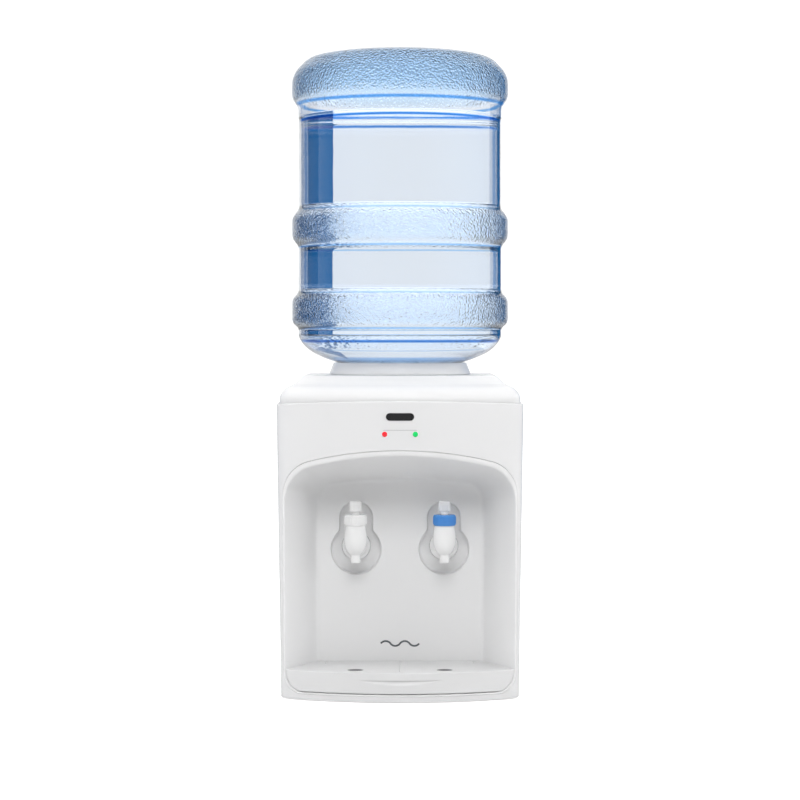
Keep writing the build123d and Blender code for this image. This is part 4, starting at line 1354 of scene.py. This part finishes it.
def surround():
    """A tall white wall all round, far off, for the eye only."""
    sides = 64
    far = 29.0
    corners = []
    for side in range(sides):
        angle = 2 * math.pi * side / sides
        x = far * math.cos(angle)
        y = far * math.sin(angle)
        corners += [(x, y, -0.01), (x, y, 24)]
    whole = 2 * sides
    faces = [(low, low + 1, (low + 3) % whole, (low + 2) % whole) for low in range(0, whole, 2)]
    staged("studio_surround", corners, faces, {
        "Base Color": (0, 0, 0, 1), "Specular IOR Level": 0.0,
        "Emission Color": (1, 1, 1, 1), "Emission Strength": 1.14,
    }, ("diffuse", "glossy", "transmission", "shadow"))


def sky():
    world = bpy.data.worlds.new("studio_sky")
    bpy.context.scene.world = world
    world.use_nodes = True
    tree = world.node_tree
    place = tree.nodes.new("ShaderNodeTexCoord")
    split = tree.nodes.new("ShaderNodeSeparateXYZ")
    tree.links.new(place.outputs["Generated"], split.inputs["Vector"])
    tone = spread(tree, split.outputs["Y"], 0.24, 1.04, -1.0, 0.6)
    tree.links.new(tone.outputs["Result"], tree.nodes["Background"].inputs["Strength"])
    tree.nodes["Background"].inputs["Color"].default_value = (1, 1, 1, 1)


def soft_lamp(name, place, target, size, power):
    light = bpy.data.lights.new(name, "AREA")
    light.shape = "RECTANGLE"
    light.size = size[0]
    light.size_y = size[1]
    light.energy = power
    made = bpy.data.objects.new(name, light)
    made.location = place
    made.rotation_euler = (Vector(target) - Vector(place)).to_track_quat("-Z", "Y").to_euler()
    made.visible_glossy = False
    made.visible_transmission = False
    bpy.context.scene.collection.objects.link(made)


floor_plane("studio_floor", 0.0, 0.80, 0.70, ("diffuse", "glossy", "shadow"))
floor_plane("bounce_floor", -0.0005, 0.62, 0.0, ("camera", "transmission"))
surround()
sky()
soft_lamp("left_lamp", (-2.2, -0.6, 1.5), (0, 0, 0.3), (1.4, 1.6), 19)
soft_lamp("right_lamp", (2.2, -0.6, 1.3), (0, 0, 0.3), (1.4, 1.6), 18)
soft_lamp("top_lamp", (0, -0.3, 2.4), (0, 0, 0.4), (1.8, 1.8), 12)
soft_lamp("front_lamp", (0, -2.6, 2.1), (0, 0, 0.1), (1.6, 1.0), 40)
print("stage lit")

# %% Cards round the bottle
def card(name, corners, colour, more_hidden=()):
    staged(name, corners, [(0, 1, 2, 3)], {
        "Base Color": (0, 0, 0, 1), "Roughness": 1.0,
        "Emission Color": (*colour, 1), "Emission Strength": 1.0,
    }, ("camera", "diffuse", "shadow", *more_hidden))


def facing_card(name, left, right, y, low, high, colour):
    card(name, [(left, y, low), (right, y, low), (right, y, high), (left, y, high)], colour)


def side_card(name, x, front, back, low, high, colour, more_hidden=()):
    corners = [(x, front, low), (x, back, low), (x, back, high), (x, front, high)]
    card(name, corners, colour, more_hidden)


facing_card("right_card", 0.95, 4.15, 2.6, -0.4, 2.6, (0.0, 0.13, 0.36))
facing_card("left_card", -2.85, -2.35, 2.6, -0.4, 2.6, (0.45, 0.60, 0.82))
side_card("left_flag", -2.3, 0.6, 1.8, -0.2, 3.4, (0.0, 0.03, 0.10))
side_card("gloss_flag", -2.35, -1.8, 4.5, -0.2, 3.4, (0.0, 0.05, 0.18), ("transmission",))

# %% [markdown]
# The camera stands three metres in front, level with the shoulder of the bottle, and looks down by a degree
# and a half. The picture keeps plain tones, so white stays white.

# %% Camera
lens = bpy.data.cameras.new("front_camera")
lens.sensor_width = 36.0
lens.lens = 106.8
lens.clip_end = 100.0
camera = bpy.data.objects.new("front_camera", lens)
camera.location = (0, -3.0, 0.445)
camera.rotation_euler = (math.radians(90 - 1.58), 0, 0)
bpy.context.scene.collection.objects.link(camera)
bpy.context.scene.camera = camera
bpy.context.scene.view_settings.view_transform = "Standard"
print("camera at", tuple(camera.location))
